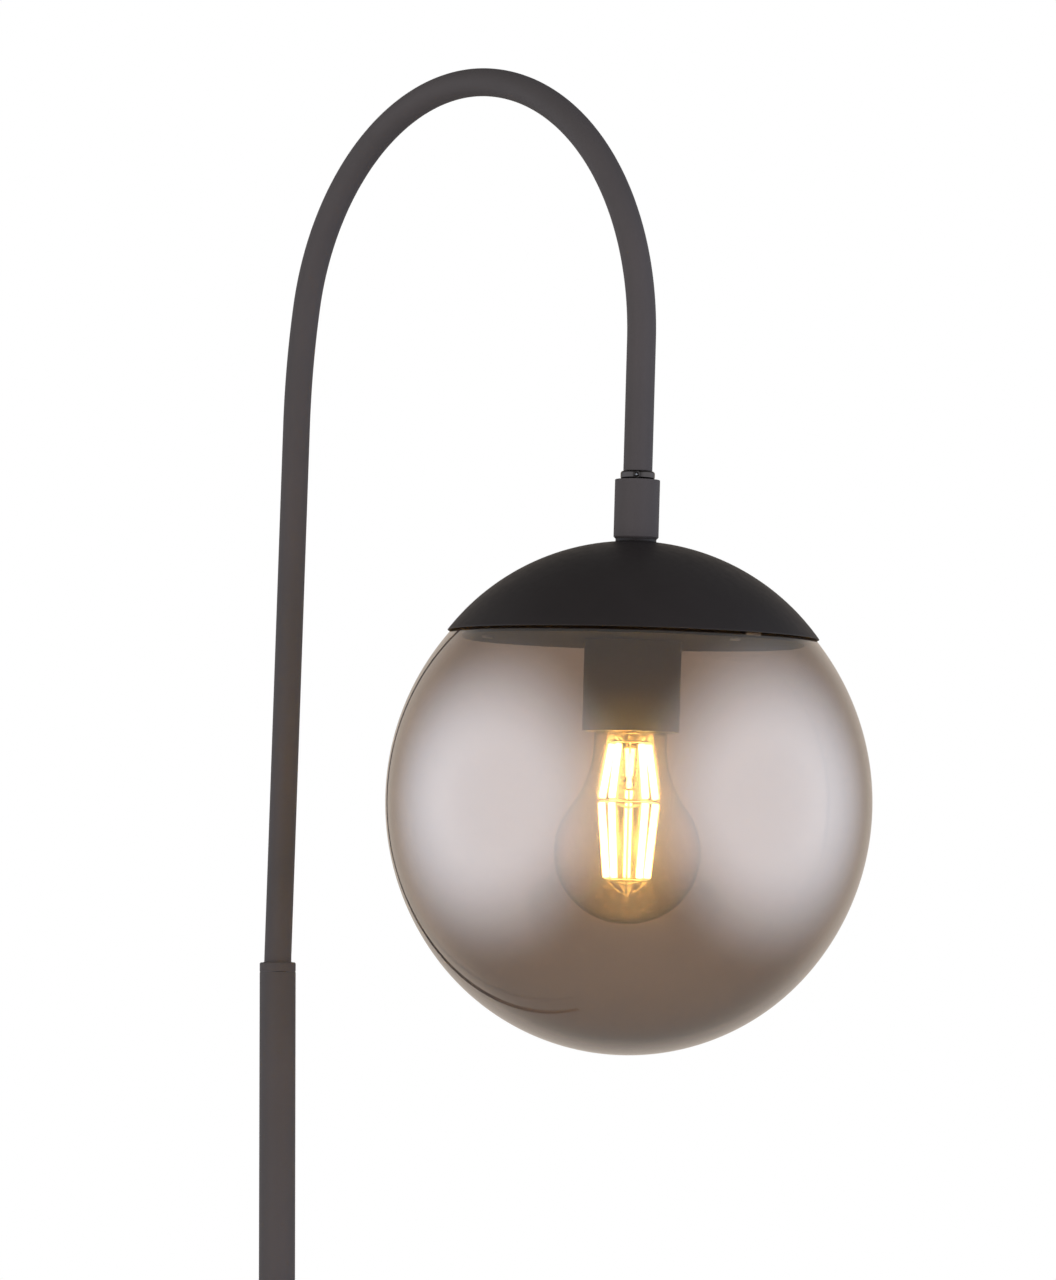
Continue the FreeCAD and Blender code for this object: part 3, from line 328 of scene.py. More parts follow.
# Nickel on the brass screw cap of a bulb.
BULB_NICKEL = Finish("nickel_on_brass", "bulb_nickel", "#C8C5BF", "#B7B2A9", 0.22, metallic=1.0,
                     grain=Grain.TURNED, grain_mm=0.3, grain_height_mm=0.003, patch_mm=7)
# Drawn nickel-iron wire that carries the filaments.
WIRE = Finish("drawn_support_wire", "support_wire", "#B9AFA2", "#A89D8F", 0.30, metallic=1.0,
              grain=Grain.DRAWN, grain_mm=0.3, grain_height_mm=0.002, patch_mm=5)
# Grey iron as it leaves a sand mould: coarse and dull.
CAST_IRON = Finish("grey_iron_cast", "iron", "#3A3836", "#2C2A29", 0.75, metallic=0.6,
                   grain_mm=1.6, grain_height_mm=0.12, patch_mm=18)
# Closed-cell foam rubber: dead matt with fine pores.
PAD_RUBBER = Finish("foam_rubber", "pad_rubber", "#1B1B1C", "#141415", 0.9, shine=0.3,
                    grain_mm=0.7, grain_height_mm=0.05, patch_mm=12)
# Moulded black thermoplastic of the lampholder and the gland, with a fine spark-eroded texture.
BLACK_PLASTIC = Finish("moulded_thermoplastic_black", "black_plastic", "#1C1B1B", "#161515", 0.42,
                       grain_mm=0.5, patch_mm=15)
# Turned nylon of the bush that the arm swivels in.
NYLON = Finish("nylon_turned", "bush_plastic", "#E6E2D6", "#DAD5C6", 0.38, grain=Grain.TURNED,
               grain_mm=0.4, patch_mm=10)
# Unglazed steatite of the contact block: chalky and slightly porous.
STEATITE = Finish("steatite_unglazed", "steatite", "#E4DFD3", "#D8D1C2", 0.7, grain_mm=0.5,
                  grain_height_mm=0.02, patch_mm=6)
# Extruded PVC over the lead.
LEAD_SHEATH = Finish("pvc_sheath_black", "lead_sheath", "#1D1D1E", "#161617", 0.45,
                     grain_height_mm=0.008, patch_mm=20)
# Extruded PVC over the two cores.
CORE_SHEATH = Finish("pvc_core_blue", "core_sheath", "#2D5BA8", "#274F94", 0.4,
                     grain_mm=0.6, grain_height_mm=0.005, patch_mm=10)
# The globe's smoked glass: a fumed skin of thin oxide on both faces, which bends light more than
# glass and so mirrors more, and a trace of smoke in the body.
SMOKED_GLASS = Glass("smoked_glass_blown", "smoked_glass", "#C3B0A0", "#6B5A50", 30.0, 1.5, 0.015,
                     skin=1.0)
# Thin clear glass of the bulb, warm edge on, with the slow ripple of a blown wall.
BULB_GLASS = Glass("bulb_glass_clear", "bulb_clear", "#FBF4EA", "#F2BE68", 60.0, 1.45, 0.02,
                   ripple_mm=18.0)
# The same glass in the stem, clearer through its thickness, with the close ripple of pinched glass.
STEM_GLASS = Glass("stem_glass_clear", "bulb_clear", "#FBF4EA", "#F2BE68", 12.0, 1.45, 0.02,
                   ripple_mm=4.0)
# The strips' coat while they are lit: yellow phosphor that gives a warm light.
LIT_STRIP = LitPhosphor("filament_phosphor_lit", "lit_filament", "#F2C75C", "#FFEB98", 110.0)

# Finishes of the CAD nodes that are shown as packed.
KEPT_NODES: dict[Finish, tuple[str, ...]] = {
    CAP_COAT: ("glass_carrier",),
    ZINC: ("base_nipple", "base_washer", "base_nut", "foot_plug", "joint_socket_lower",
           "joint_stud_lower", "joint_socket_upper", "joint_stud_upper", "head_nipple",
           "cap_washer", "cap_nut", "carrier_nut", "glass_clips", "clip_rivets"),
    BRASS: ("screw_shell", "centre_contact", "terminal_screws"),
    BULB_NICKEL: ("bulb_tip",),
    CAST_IRON: ("base_weight",),
    PAD_RUBBER: ("base_pad",),
    BLACK_PLASTIC: ("lampholder_top", "lampholder_body", "cable_gland", "bulb_insulator"),
    NYLON: ("swivel_bush",),
    STEATITE: ("contact_block",),
    LEAD_SHEATH: ("lead_lower", "lead_upper"),
    CORE_SHEATH: ("lead_cores",),
}


# ---------- Surfaces ----------
@dataclass
class Shell:
    """A closed surface: its points and its faces as quads, with triangles round a pole."""

    points: np.ndarray
    quads: np.ndarray
    triangles: np.ndarray = field(default_factory=lambda: np.zeros((0, 3), int))

    def outward(self) -> Shell:
        """Turn the faces so that they point out, by the sign of the enclosed volume.

        The volume is a sixth of the sum, over all triangles, of the triple product of corners.

        Returns:
            The shell itself.
        """
        split = np.vstack([self.quads[:, [0, 1, 2]], self.quads[:, [0, 2, 3]], self.triangles])
        a, b, c = (self.points[split[:, k]] for k in range(3))
        if np.einsum("ij,ij->i", a, np.cross(b, c)).sum() < 0:
            self.quads = self.quads[:, ::-1]
            self.triangles = self.triangles[:, ::-1]
        return self


@dataclass(frozen=True)
class Place:
    """Where a piece's own axes lie: an origin and the directions of across, along and up."""

    origin: np.ndarray
    across: np.ndarray
    along: np.ndarray
    up: np.ndarray

    def of(self, points: np.ndarray) -> np.ndarray:
        """Carry points from these axes to those that the place is given in."""
        return self.origin + points @ np.stack([self.across, self.along, self.up])


UPRIGHT = Place(np.zeros(3), *np.eye(3))


def full_turn(count: int) -> np.ndarray:
    """Angles spaced evenly round a full turn, in radians."""
    return np.linspace(0, 2 * math.pi, count, endpoint=False)


def about_axis(radius: Any, angle: Any, depth: Any) -> np.ndarray:
    """Points at radius r, angle t and depth d about an axis: (r cos t, r sin t, -d)."""
    return np.stack(np.broadcast_arrays(radius * np.cos(angle), radius * np.sin(angle), -depth), -1)


def arc(centre: tuple[float, float], radius: float, start: float, end: float,
        steps: int) -> np.ndarray:
    """Points of an arc as rows of radius and depth, with angles measured from straight down."""
    angle = np.linspace(start, end, steps + 1)
    return np.stack([centre[0] + radius * np.sin(angle), centre[1] + radius * np.cos(angle)], 1)


def rounded(corners: Sequence[tuple[float, float, float]], closed: bool = True,
            steps: int = 4) -> np.ndarray:
    """An outline with rounded corners.

    At each corner an arc of the stated radius touches both sides. Its centre lies on the corner's
    bisector, at the radius over the sine of half the corner's angle, and the arc is swept from one
    touching point to the other by turning evenly between them.

    Args:
        corners: pairs of coordinates, each with the radius of its rounding.
        closed: whether the last corner joins the first.
        steps: how many stretches make one rounding.

    Returns:
        The outline's points, one row each.
    """
    spots = np.array([c[:2] for c in corners], float)
    made = []
    for index, (_, _, radius) in enumerate(corners):
        here = spots[index]
        inside = closed or 0 < index < len(corners) - 1
        if radius <= 0 or not inside:
            made.append(here[None])
            continue
        back, ahead = spots[index - 1] - here, spots[(index + 1) % len(spots)] - here
        room = min(np.linalg.norm(back), np.linalg.norm(ahead)) / 2
        back, ahead = back / np.linalg.norm(back), ahead / np.linalg.norm(ahead)
        half = math.acos(float(np.clip(back @ ahead, -1, 1))) / 2
        reach = min(radius / math.tan(half), room)
        radius = reach * math.tan(half)
        bisector = (back + ahead) / np.linalg.norm(back + ahead)
        centre = here + bisector * radius / math.sin(half)
        first, last = here + back * reach - centre, here + ahead * reach - centre
        swing = math.pi - 2 * half
        share = np.linspace(0, 1, steps + 1)[:, None]
        made.append(centre + (np.sin((1 - share) * swing) * first
                              + np.sin(share * swing) * last) / math.sin(swing))
    return np.vstack(made)


def resampled(outline: np.ndarray, step: float) -> np.ndarray:
    """Divide the long stretches of a closed outline evenly, so that it can follow a bend.

    Args:
        outline: the outline's points, one row each.
        step: the longest stretch that is left whole.

    Returns:
        The divided outline.
    """
    made = []
    for start, end in zip(outline, np.roll(outline, -1, 0)):
        count = max(1, math.ceil(float(np.linalg.norm(end - start)) / step))
        made.append(start + (end - start) * (np.arange(count) / count)[:, None])
    return np.vstack(made)


def lipped(outer: np.ndarray, inner: np.ndarray, lip: Sequence[tuple[float, float, float]],
           steps: int) -> np.ndarray:
    """Join the two faces of a wall by a rounded lip.

    Args:
        outer: points of the outer face, up to the lip.
        inner: points of the inner face, up to the lip.
        lip: the lip's corners, each with the radius of its rounding.
        steps: how many stretches make one rounding.

    Returns:
        The outline along the outer face, round the lip and back along the inner face.
    """
    edge = rounded([(*outer[-2], 0), *lip, (*inner[-2], 0)], False, steps)
    return np.vstack([outer[:-2], edge, inner[-3::-1]])


def grid_shell(rings: np.ndarray, poles: bool = False) -> Shell:
    """Join rings of points into a closed surface.

    Args:
        rings: points as (ring, place on the ring, coordinate).
        poles: whether the first and last ring shrink to a point, which closes the surface there.
            Otherwise the last ring joins the first.

    Returns:
        The shell, with its faces outwards.
    """
    rows, count = rings.shape[:2]
    place = np.arange(count)
    after = (place + 1) % count
    if not poles:
        row = np.arange(rows)[:, None] * count
        below = ((np.arange(rows) + 1) % rows)[:, None] * count
        quads = np.stack([row + place, row + after, below + after, below + place], -1)
        return Shell(rings.reshape(-1, 3), quads.reshape(-1, 4)).outward()
    inner = rings[1:-1]
    points = np.vstack([inner.reshape(-1, 3), rings[0].mean(0)[None], rings[-1].mean(0)[None]])
    row = np.arange(rows - 3)[:, None] * count
    quads = np.stack([row + place, row + after, row + count + after, row + count + place], -1)
    start, end = len(points) - 2, len(points) - 1
    last = (rows - 3) * count
    fans = np.vstack([np.stack([np.full(count, start), after, place], 1),
                      np.stack([np.full(count, end), last + place, last + after], 1)])
    return Shell(points, quads.reshape(-1, 4), fans).outward()


def turned(outline: np.ndarray, place: Place, segments: int, poles: bool = False) -> Shell:
    """Turn an outline about an axis: each of its points makes a ring of its radius and depth.

    Args:
        outline: rows of radius and depth, in metres.
        place: the axes of the piece.
        segments: how many stretches make the full turn.
        poles: whether the outline starts and ends on the axis.

    Returns:
        The turned shell.
    """
    rings = about_axis(outline[:, :1], full_turn(segments), outline[:, 1:])
    return grid_shell(place.of(rings), poles)


@dataclass(frozen=True)
class BentPath:
    """A path in the XZ plane: straight runs and bends one after another, all turning one way.

    The direction at a distance s leans from +Z towards +X by the bends passed so far, and the place
    is the running sum of short steps, each taken along the direction at its own middle.
    """

    start: tuple[float, float]
    stretches: tuple[tuple[float, float], ...]
    samples: int = 20001

    @property
    def length(self) -> float:
        """The whole length of the path."""
        return sum(length for length, _ in self.stretches)

    def at(self, distance: np.ndarray) -> tuple[np.ndarray, np.ndarray]:
        """Place and lean at distances along the path.

        Args:
            distance: distances from the start, in metres.

        Returns:
            Points of the path, and leans in radians.
        """
        lengths = np.array([length for length, _ in self.stretches])
        leans = np.radians([lean for _, lean in self.stretches])
        ends = np.concatenate([[0], np.cumsum(lengths)])
        totals = np.concatenate([[0], np.cumsum(leans)])
        fine = np.linspace(0, ends[-1], self.samples)
        middle = np.interp((fine[1:] + fine[:-1]) / 2, ends, totals)
        step = fine[1] - fine[0]
        across = self.start[0] + np.concatenate([[0], np.cumsum(np.sin(middle) * step)])
        up = self.start[1] + np.concatenate([[0], np.cumsum(np.cos(middle) * step)])
        points = np.stack([np.interp(distance, fine, across), 0 * distance,
                           np.interp(distance, fine, up)], -1)
        return points, np.interp(distance, ends, totals)


def along_path(path: BentPath, outline: np.ndarray, segments: int) -> Shell:
    """Carry a tube's wall along a path.

    A point of the wall's outline is a distance s along the path and a radius r. It becomes a ring
    of radius r about the path's place at s, square to the path's direction there.

    Args:
        path: the path.
        outline: rows of distance and radius, going round the wall.
        segments: how many stretches make one ring.

    Returns:
        The tube's shell.
    """
    points, lean = path.at(outline[:, 0])
    angle = full_turn(segments)[None, :, None]
    across = np.stack([np.cos(lean), 0 * lean, -np.sin(lean)], -1)[:, None]
    ring = across * np.cos(angle) + np.array([0.0, 1.0, 0.0]) * np.sin(angle)
    return grid_shell(points[:, None] + outline[:, 1][:, None, None] * ring)


def rod(start: np.ndarray, end: np.ndarray, radius: float, segments: int,
        rounding: float = 1.0) -> Shell:
    """A round rod between two points, turned about the line that joins them.

    Args:
        start: one end.
        end: the other end.
        radius: the rod's radius.
        segments: how many stretches make one ring.
        rounding: how far the ends are rounded, one for half a ball.

    Returns:
        The rod's shell.
    """
    way = end - start
    length = float(np.linalg.norm(way))
    up = way / length
    # The Y axis, or the X axis for a rod that lies nearly along Y.
    beside = np.eye(3)[1] if abs(up[1]) < 0.9 else np.eye(3)[0]
    across = np.cross(up, beside)
    across /= np.linalg.norm(across)
    edge = radius * rounding
    outline = rounded([(0, 0, 0), (radius, 0, edge), (radius, -length, edge), (0, -length, 0)],
                      False, 5)
    return turned(outline, Place(start, across, np.cross(up, across), up), segments, True)


@dataclass
class Assembly:
    """The pieces that ride on one body of the CAD, drawn about the axes of one place."""

    place: Place
    body: ClassVar[str]

    def show(self, name: str, look: Look, node: str | None, shells: Sequence[Shell],
             crease: float = 32.0) -> None:
        """Make a piece of one or more shells, dress it and hang it on its body.

        Args:
            name: the piece's name.
            look: its finish.
            node: the CAD node that it stands for, or none.
            shells: its surfaces, in metres in the lamp's frame.
            crease: the angle, in degrees, past which an edge is sharp.
        """
        faces, first = [], 0
        for shell in shells:
            faces += (shell.quads + first).tolist() + (shell.triangles + first).tolist()
            first += len(shell.points)
        mesh = bpy.data.meshes.new(name)
        mesh.from_pydata(np.vstack([shell.points for shell in shells]).tolist(), [], faces)
        mesh.polygons.foreach_set("use_smooth", np.ones(len(faces), bool))
        mesh.set_sharp_from_angle(angle=math.radians(crease))
        mesh.materials.append(dressing(look))
        mesh.update()
        piece = bpy.data.objects.new(name, mesh)
        bpy.context.scene.collection.objects.link(piece)
        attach(piece, self.body)
        if node:
            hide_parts(node)
        log.info("%s: %d points, %d faces, on %s", name, first, len(faces), self.body)

    def turn(self, name: str, look: Look, node: str | None, outline: np.ndarray,
             segments: int = 96, crease: float = 32.0, poles: bool = False) -> None:
        """Turn an outline, in millimetres, about the place's axis and show it as a piece."""
        self.show(name, look, node, [turned(outline * MM, self.place, segments, poles)], crease)


# ---------- Stand: foot and pole ----------
@dataclass
class Stand(Assembly):
    """The pressed foot cover with its collar, and the pole in three screwed sections."""

    body: ClassVar[str] = "stand"
    base_radius: float = 130.0
    cover_wall: float = 1.0
    cover_edge: float = 12.0
    cover_gap: float = 1.0
    cover_top: float = 25.0
    cover_hole: float = 5.2
    collar_radius: float = 17.0
    collar_height: float = 10.0
    collar_lip: float = 2.5
    collar_neck: float = 9.6
    collar_bore: float = 8.05
    pole_radius: float = 8.0
    pole_wall: float = 1.0
    section_length: float = 363.0
    seam_bevel: float = 0.28

    def build(self) -> None:
        """Build the cover, the collar and the three sections."""
        self.turn("foot_cover", POLE_COAT, "base_cover", self.cover_outline(), 192)
        self.turn("foot_collar_ring", POLE_COAT, "foot_collar", self.collar_outline())
        for index, name in enumerate(("lower", "middle", "upper")):
            low = self.cover_top + index * self.section_length
            self.turn(f"pole_tube_{name}", POLE_COAT, f"pole_{name}", self.section_outline(low))

    def cover_outline(self) -> np.ndarray:
        """The pressed cover: a flat top, a rounded shoulder and a rolled lower edge.

        Returns:
            The cover's outline.
        """
        outer, wall, top, hole = self.base_radius, self.cover_wall, self.cover_top, self.cover_hole
        roll = wall / 2.1
        return rounded([
            (hole, -top, 0.2), (outer, -top, self.cover_edge), (outer, -self.cover_gap, roll),
            (outer - wall, -self.cover_gap, roll),
            (outer - wall, -top + wall, self.cover_edge - wall), (hole, -top + wall, 0.2),
        ], steps=10)

    def collar_outline(self) -> np.ndarray:
        """The collar: a short lip, then a hollow flare up to a thin top.

        The flare is a quarter of an ellipse: its radius goes in with the sine of an angle, and its
        height goes up with one less the cosine.

        Returns:
            The collar's outline.
        """
        low, lip = self.cover_top, self.cover_top + self.collar_lip
        high, neck = self.cover_top + self.collar_height, self.collar_neck
        outer, inner = self.collar_radius, self.collar_bore
        angle = np.linspace(0, math.pi / 2, 13)
        flare = np.stack([outer - (outer - neck) * np.sin(angle),
                          -(lip + (high - lip) * (1 - np.cos(angle)))], 1)
        foot = rounded([(inner, -low, 0.1), (outer, -low, 0.4), (outer, -lip, 0.5),
                        (outer - 2, -lip - 0.6, 0)], False)
        head = rounded([(neck, -high + 1, 0), (neck, -high, 0.4), (inner, -high, 0.15),
                        (inner, -low - 1, 0)], False)
        return np.vstack([foot[:-1], flare[2:-1], head])

    def section_outline(self, low: float) -> np.ndarray:
        """One tube section, its ends bevelled so that a seam shows where two of them meet.

        Args:
            low: the height of the section's lower end.

        Returns:
            The section's outline.
        """
        outer, inner = self.pole_radius, self.pole_radius - self.pole_wall
        high, bevel = low + self.section_length, self.seam_bevel
        return rounded([
            (inner, -low, 0.1), (outer - bevel, -low, 0.06), (outer, -low - bevel, 0.1),
            (outer, -high + bevel, 0.1), (outer - bevel, -high, 0.06), (inner, -high, 0.1),
        ], steps=3)


# ---------- Arm ----------
@dataclass
class Arm(Assembly):
    """The bent tube and the ring brazed on it, which rests on the pole.

    The ease, the rise and the fall are bends, each by its radius and its angle in degrees.
    """

    body: ClassVar[str] = "arm"
    radius: float = 6.0
    wall: float = 1.0
    foot: float = 1070.0
    root: float = 1118.2
    lean: float = 3.03
    root_bend: float = 36.0
    leg: float = 237.4
    ease: tuple[float, float] = (325.0, 9.33)
    rise: tuple[float, float] = (108.2, 88.33)
    fall: tuple[float, float] = (118.0, 81.94)
    tip: float = 54.5
    end_round: float = 0.35
    tube_step: float = 2.2
    pole_top: float = 1114.0
    ring_bore: float = 6.05
    ring_radius: float = 8.0
    ring_round: float = 0.8
    ring_bevel: float = 0.28
    braze: float = 0.5
    braze_slope: float = 0.6
    washer_inset: float = 0.12
    washer_share: float = 0.62

    def path(self) -> BentPath:
        """The arm's centre line as runs and bends, from its foot in the pole to its tip.

        Returns:
            The path, in metres.
        """
        def bend(radius: float, angle: float) -> tuple[float, float]:
            """A bend's length and its angle."""
            return radius * math.radians(angle), angle

        stretches = [(self.root - self.foot, 0.0), bend(self.root_bend, self.lean),
                     (self.leg, 0.0), bend(*self.ease), bend(*self.rise), bend(*self.fall),
                     (self.tip, 0.0)]
        return BentPath((0.0, self.foot * MM),
                        tuple((length * MM, angle) for length, angle in stretches))

    def build(self) -> None:
        """Build the tube, its ring and the thin washer that shows in the seam below the ring; the
        washer's dark plating is painted shade for the seam's dark line, and the glint it catches is
        a real reflection.
        """
        path = self.path()
        outer, inner = self.radius * MM, (self.radius - self.wall) * MM
        outside, inside = self.end_round * MM, 0.1 * MM
        wall = rounded([(0, inner, inside), (0, outer, outside), (path.length, outer, outside),
                        (path.length, inner, inside)])
        self.show("arm_bent_tube", POLE_COAT, "arm_tube",
                  [along_path(path, resampled(wall, self.tube_step * MM), 64)])
        low, high, bore, ring = self.pole_top, self.root, self.ring_bore, self.ring_radius
        self.turn("arm_stop_ring", POLE_COAT, "stop_ring", rounded([
            (bore, -low, 0.05), (ring - self.ring_bevel, -low, 0.06),
            (ring, -low - self.ring_bevel, 0.1), (ring, -high, self.ring_round),
            (bore + self.braze, -high, 0.25),
            (bore, -high - self.braze * self.braze_slope, 0.02),
        ], steps=6))
        # Painted shade: the washer's dark plating stands for the shade in the seam's groove; the
        # glint on it is a real reflection.
        edge, half = ring - self.washer_inset, self.ring_bevel * self.washer_share
        self.turn("arm_seam_shade_washer", BLACK_NICKEL, None, rounded([
            (bore, -low - half, 0.02), (edge, -low - half, 0.07),
            (edge, -low + half, 0.07), (bore, -low + half, 0.02)]))


# ---------- Head: lock ring, collar, cap, lampholder cup ----------
@dataclass
class Head(Assembly):
    """The glossy ring and its screw, the collar, the neck washer, the cap and the cup."""

    body: ClassVar[str] = "head"
    bore: float = 5.2
    ring_radius: float = 7.1
    ring_bore: float = 4.99
    ring_land: float = 5.4
    ring_height: float = 3.5
    ring_round: float = 1.4
    ring_step: float = 0.22
    screw_radius: float = 0.85
    screw_bearing: float = 44.0
    screw_end: float = 7.3
    screw_seat: float = 1.45
    screw_seat_depth: float = 0.32
    screw_seat_slope: float = 2.2
    # A bright rod in the screw's socket, a painted highlight for the glint at the screw's centre.
    glint_rod_radius: float = 0.34
    glint_rod_length: float = 1.5
    glint_rod_rounding: float = 0.9
    collar_radius: float = 9.3
    collar_height: float = 24.5
    collar_bevel: float = 0.75
    neck_radius: float = 8.45
    neck_height: float = 1.3
    cap_height: float = 38.5
    rim_radius: float = 76.7
    rim_round: float = 0.34
    cap_wall: float = 0.8
    cup_radius: float = 20.0
    cup_wall: float = 0.8
    cup_top: float = 48.5
    cup_end: float = 107.5

    @property
    def neck_depth(self) -> float:
        """Depth of the collar's lower end."""
        return self.ring_height + self.collar_height

    @property
    def cap_depth(self) -> float:
        """Depth of the cap's flat top."""
        return self.neck_depth + self.neck_height

    @property
    def rim_depth(self) -> float:
        """Depth of the cap's rim."""
        return self.cap_depth + self.cap_height

    def build(self) -> None:
        """Build every piece of the head that is seen."""
        self.show("head_lock_ring", BLACK_NICKEL, "lock_ring", [self.lock_ring()], 50)
        self.show("head_lock_screw", BLACK_NICKEL, "lock_screw", [self.lock_screw()])
        # Painted highlight: a bright zinc rod stands in the screw's hex socket, up to its end, so
        # that the screw shows a white dot for the glint at its centre.
        core = [self.place.of(self.screw_place.of(np.array([0, 0, -out])) * MM)
                for out in (self.screw_end - self.glint_rod_length, self.screw_end)]
        self.show("head_lock_screw_glint_rod", ZINC, None,
                  [rod(*core, self.glint_rod_radius * MM, 24, self.glint_rod_rounding)])
        bore, high, low, cap = self.bore, self.ring_height, self.neck_depth, self.cap_depth
        outer, bevel, neck = self.collar_radius, self.collar_bevel, self.neck_radius
        self.turn("head_collar", POLE_COAT, "collar", rounded([
            (bore, high, 0.2), (outer, high, 0.35), (outer, low - bevel, 0.3),
            (outer - bevel, low, 0.15), (bore, low, 0.2)]), crease=50)
        self.turn("head_neck_washer", CAP_COAT, "neck_washer", rounded([
            (bore, low, 0.1), (neck, low, 0.2), (neck, cap, 0.2), (bore, cap, 0.1)]))
        self.turn("cap_shell", CAP_COAT, "cap", self.cap_outline(), 224)
        outer, wall, top, end = self.cup_radius, self.cup_wall, self.cup_top, self.cup_end
        # Painted light: the cup's coat is a lighter, browner copy of the cap's, for the bulb's warm
        # light on it.
        self.turn("lampholder_shade_cup", PAINTED_LIT_CUP_COAT, "lampholder_cup", rounded([
            (bore, top, 0.1), (outer, top, 1.2), (outer, end, wall * 0.49),
            (outer - wall, end, wall * 0.49), (outer - wall, top + wall, 0.5),
            (bore, top + wall, 0.1)], steps=5), 128)

    @property
    def screw_place(self) -> Place:
        """The screw's axes in the head's, with its depths running outwards from the head's axis.

        Returns:
            The place, in millimetres.
        """
        bearing = math.radians(self.screw_bearing)
        side = np.array([math.cos(bearing), math.sin(bearing), 0.0])
        inwards = np.array([-math.sin(bearing), math.cos(bearing), 0.0])
        return Place(np.array([0, 0, -self.ring_height / 2]), side, np.eye(3)[2], inwards)

    def lock_ring(self) -> Shell:
        """The bulging ring, countersunk where its screw goes in.

        The ring is a rounded outline turned about the axis. Round the screw, at half the ring's
        height, its radius is less by the seat's depth where the distance from the screw is under
        about half of the seat's radius, and that fades to nothing at the seat's radius. The bore,
        up to its land, stays round.

        Returns:
            The ring's shell.
        """
        radius, bore, height, ball = (self.ring_radius, self.ring_bore, self.ring_height,
                                      self.ring_round)
        outline = resampled(rounded([(bore, height, 0.1), (radius, height, ball),
                                     (radius, 0, ball), (bore, 0, 0.1)], steps=10), self.ring_step)
        reach, depth = outline[:, :1], outline[:, 1:]
        angle = full_turn(320)
        bearing = math.radians(self.screw_bearing) - math.pi / 2
        around = (np.mod(angle - bearing + math.pi, 2 * math.pi) - math.pi) * radius
        off = np.hypot(around, depth - height / 2)
        share = np.clip(1 - off / self.screw_seat, 0, 1)
        seat = self.screw_seat_depth * np.minimum(share * self.screw_seat_slope, 1)
        rings = about_axis(reach - seat * (reach > self.ring_land), angle, depth)
        return grid_shell(self.place.of(rings * MM))

    def lock_screw(self) -> Shell:
        """The grub screw: a short cylinder with a slightly domed end and a hexagonal socket in it.

        The socket's rings are hexagons: at an angle t the radius is the flat's distance over the
        cosine of t folded into a sixth of a turn.

        Returns:
            The screw's shell.
        """
        radius, end = self.screw_radius, self.screw_end
        outline = np.array([(0, self.bore), (radius, self.bore), (radius, end - 0.12),
                            (radius - 0.12, end), (0.5, end + 0.03), (0.46, end - 0.02),
                            (0.44, end - 0.45), (0, end - 0.5)])
        angle = full_turn(36)
        fold = np.cos(np.mod(angle, math.pi / 3) - math.pi / 6)
        hexagon = np.array([0, 0, 0, 0, 0, 1, 1, 0])[:, None]
        reach = outline[:, :1] * (1 + hexagon * (math.cos(math.pi / 6) / fold - 1))
        rings = self.screw_place.of(about_axis(reach, angle, outline[:, 1:]))
        return grid_shell(self.place.of(rings * MM), True)

    def cap_outline(self) -> np.ndarray:
        """The spun cap: a flat land, one sphere through land and rim, and a rounded edge.

        The sphere's centre lies on the axis at the depth c for which the land's edge and the rim
        are equally far: c = (rim depth^2 + rim radius^2 - land depth^2 - land radius^2) over twice
        the cap's height. The inner face is a sphere about the same centre.

        Returns:
            The cap's outline.
        """
        top, rim, wall = self.cap_depth, self.rim_depth, self.cap_wall
        land, edge = self.neck_radius, self.rim_radius
        centre = (rim ** 2 + edge ** 2 - top ** 2 - land ** 2) / (2 * self.cap_height)
        outer = math.hypot(centre - top, land)
        inner = outer - wall
        inner_land = math.sqrt(inner ** 2 - (centre - top - wall) ** 2)
        inner_rim = math.sqrt(inner ** 2 - (centre - rim) ** 2)

        def face(ball: float, start: tuple[float, float], end: tuple[float, float],
                 steps: int) -> np.ndarray:
            """One face of the cap, as an arc about the centre from a point to another."""
            angles = (math.atan2(radius, depth - centre) for radius, depth in (start, end))
            return arc((0, centre), ball, *angles, steps)

        over = face(outer, (land, top), (edge, rim), 72)
        under = face(inner, (inner_land, top + wall), (inner_rim, rim), 64)
        lip = [(edge, rim, self.rim_round), (inner_rim, rim, self.rim_round)]
        return np.vstack([[(self.bore, top)], lipped(over, under, lip, 6),
                          [(self.bore, top + wall)]])


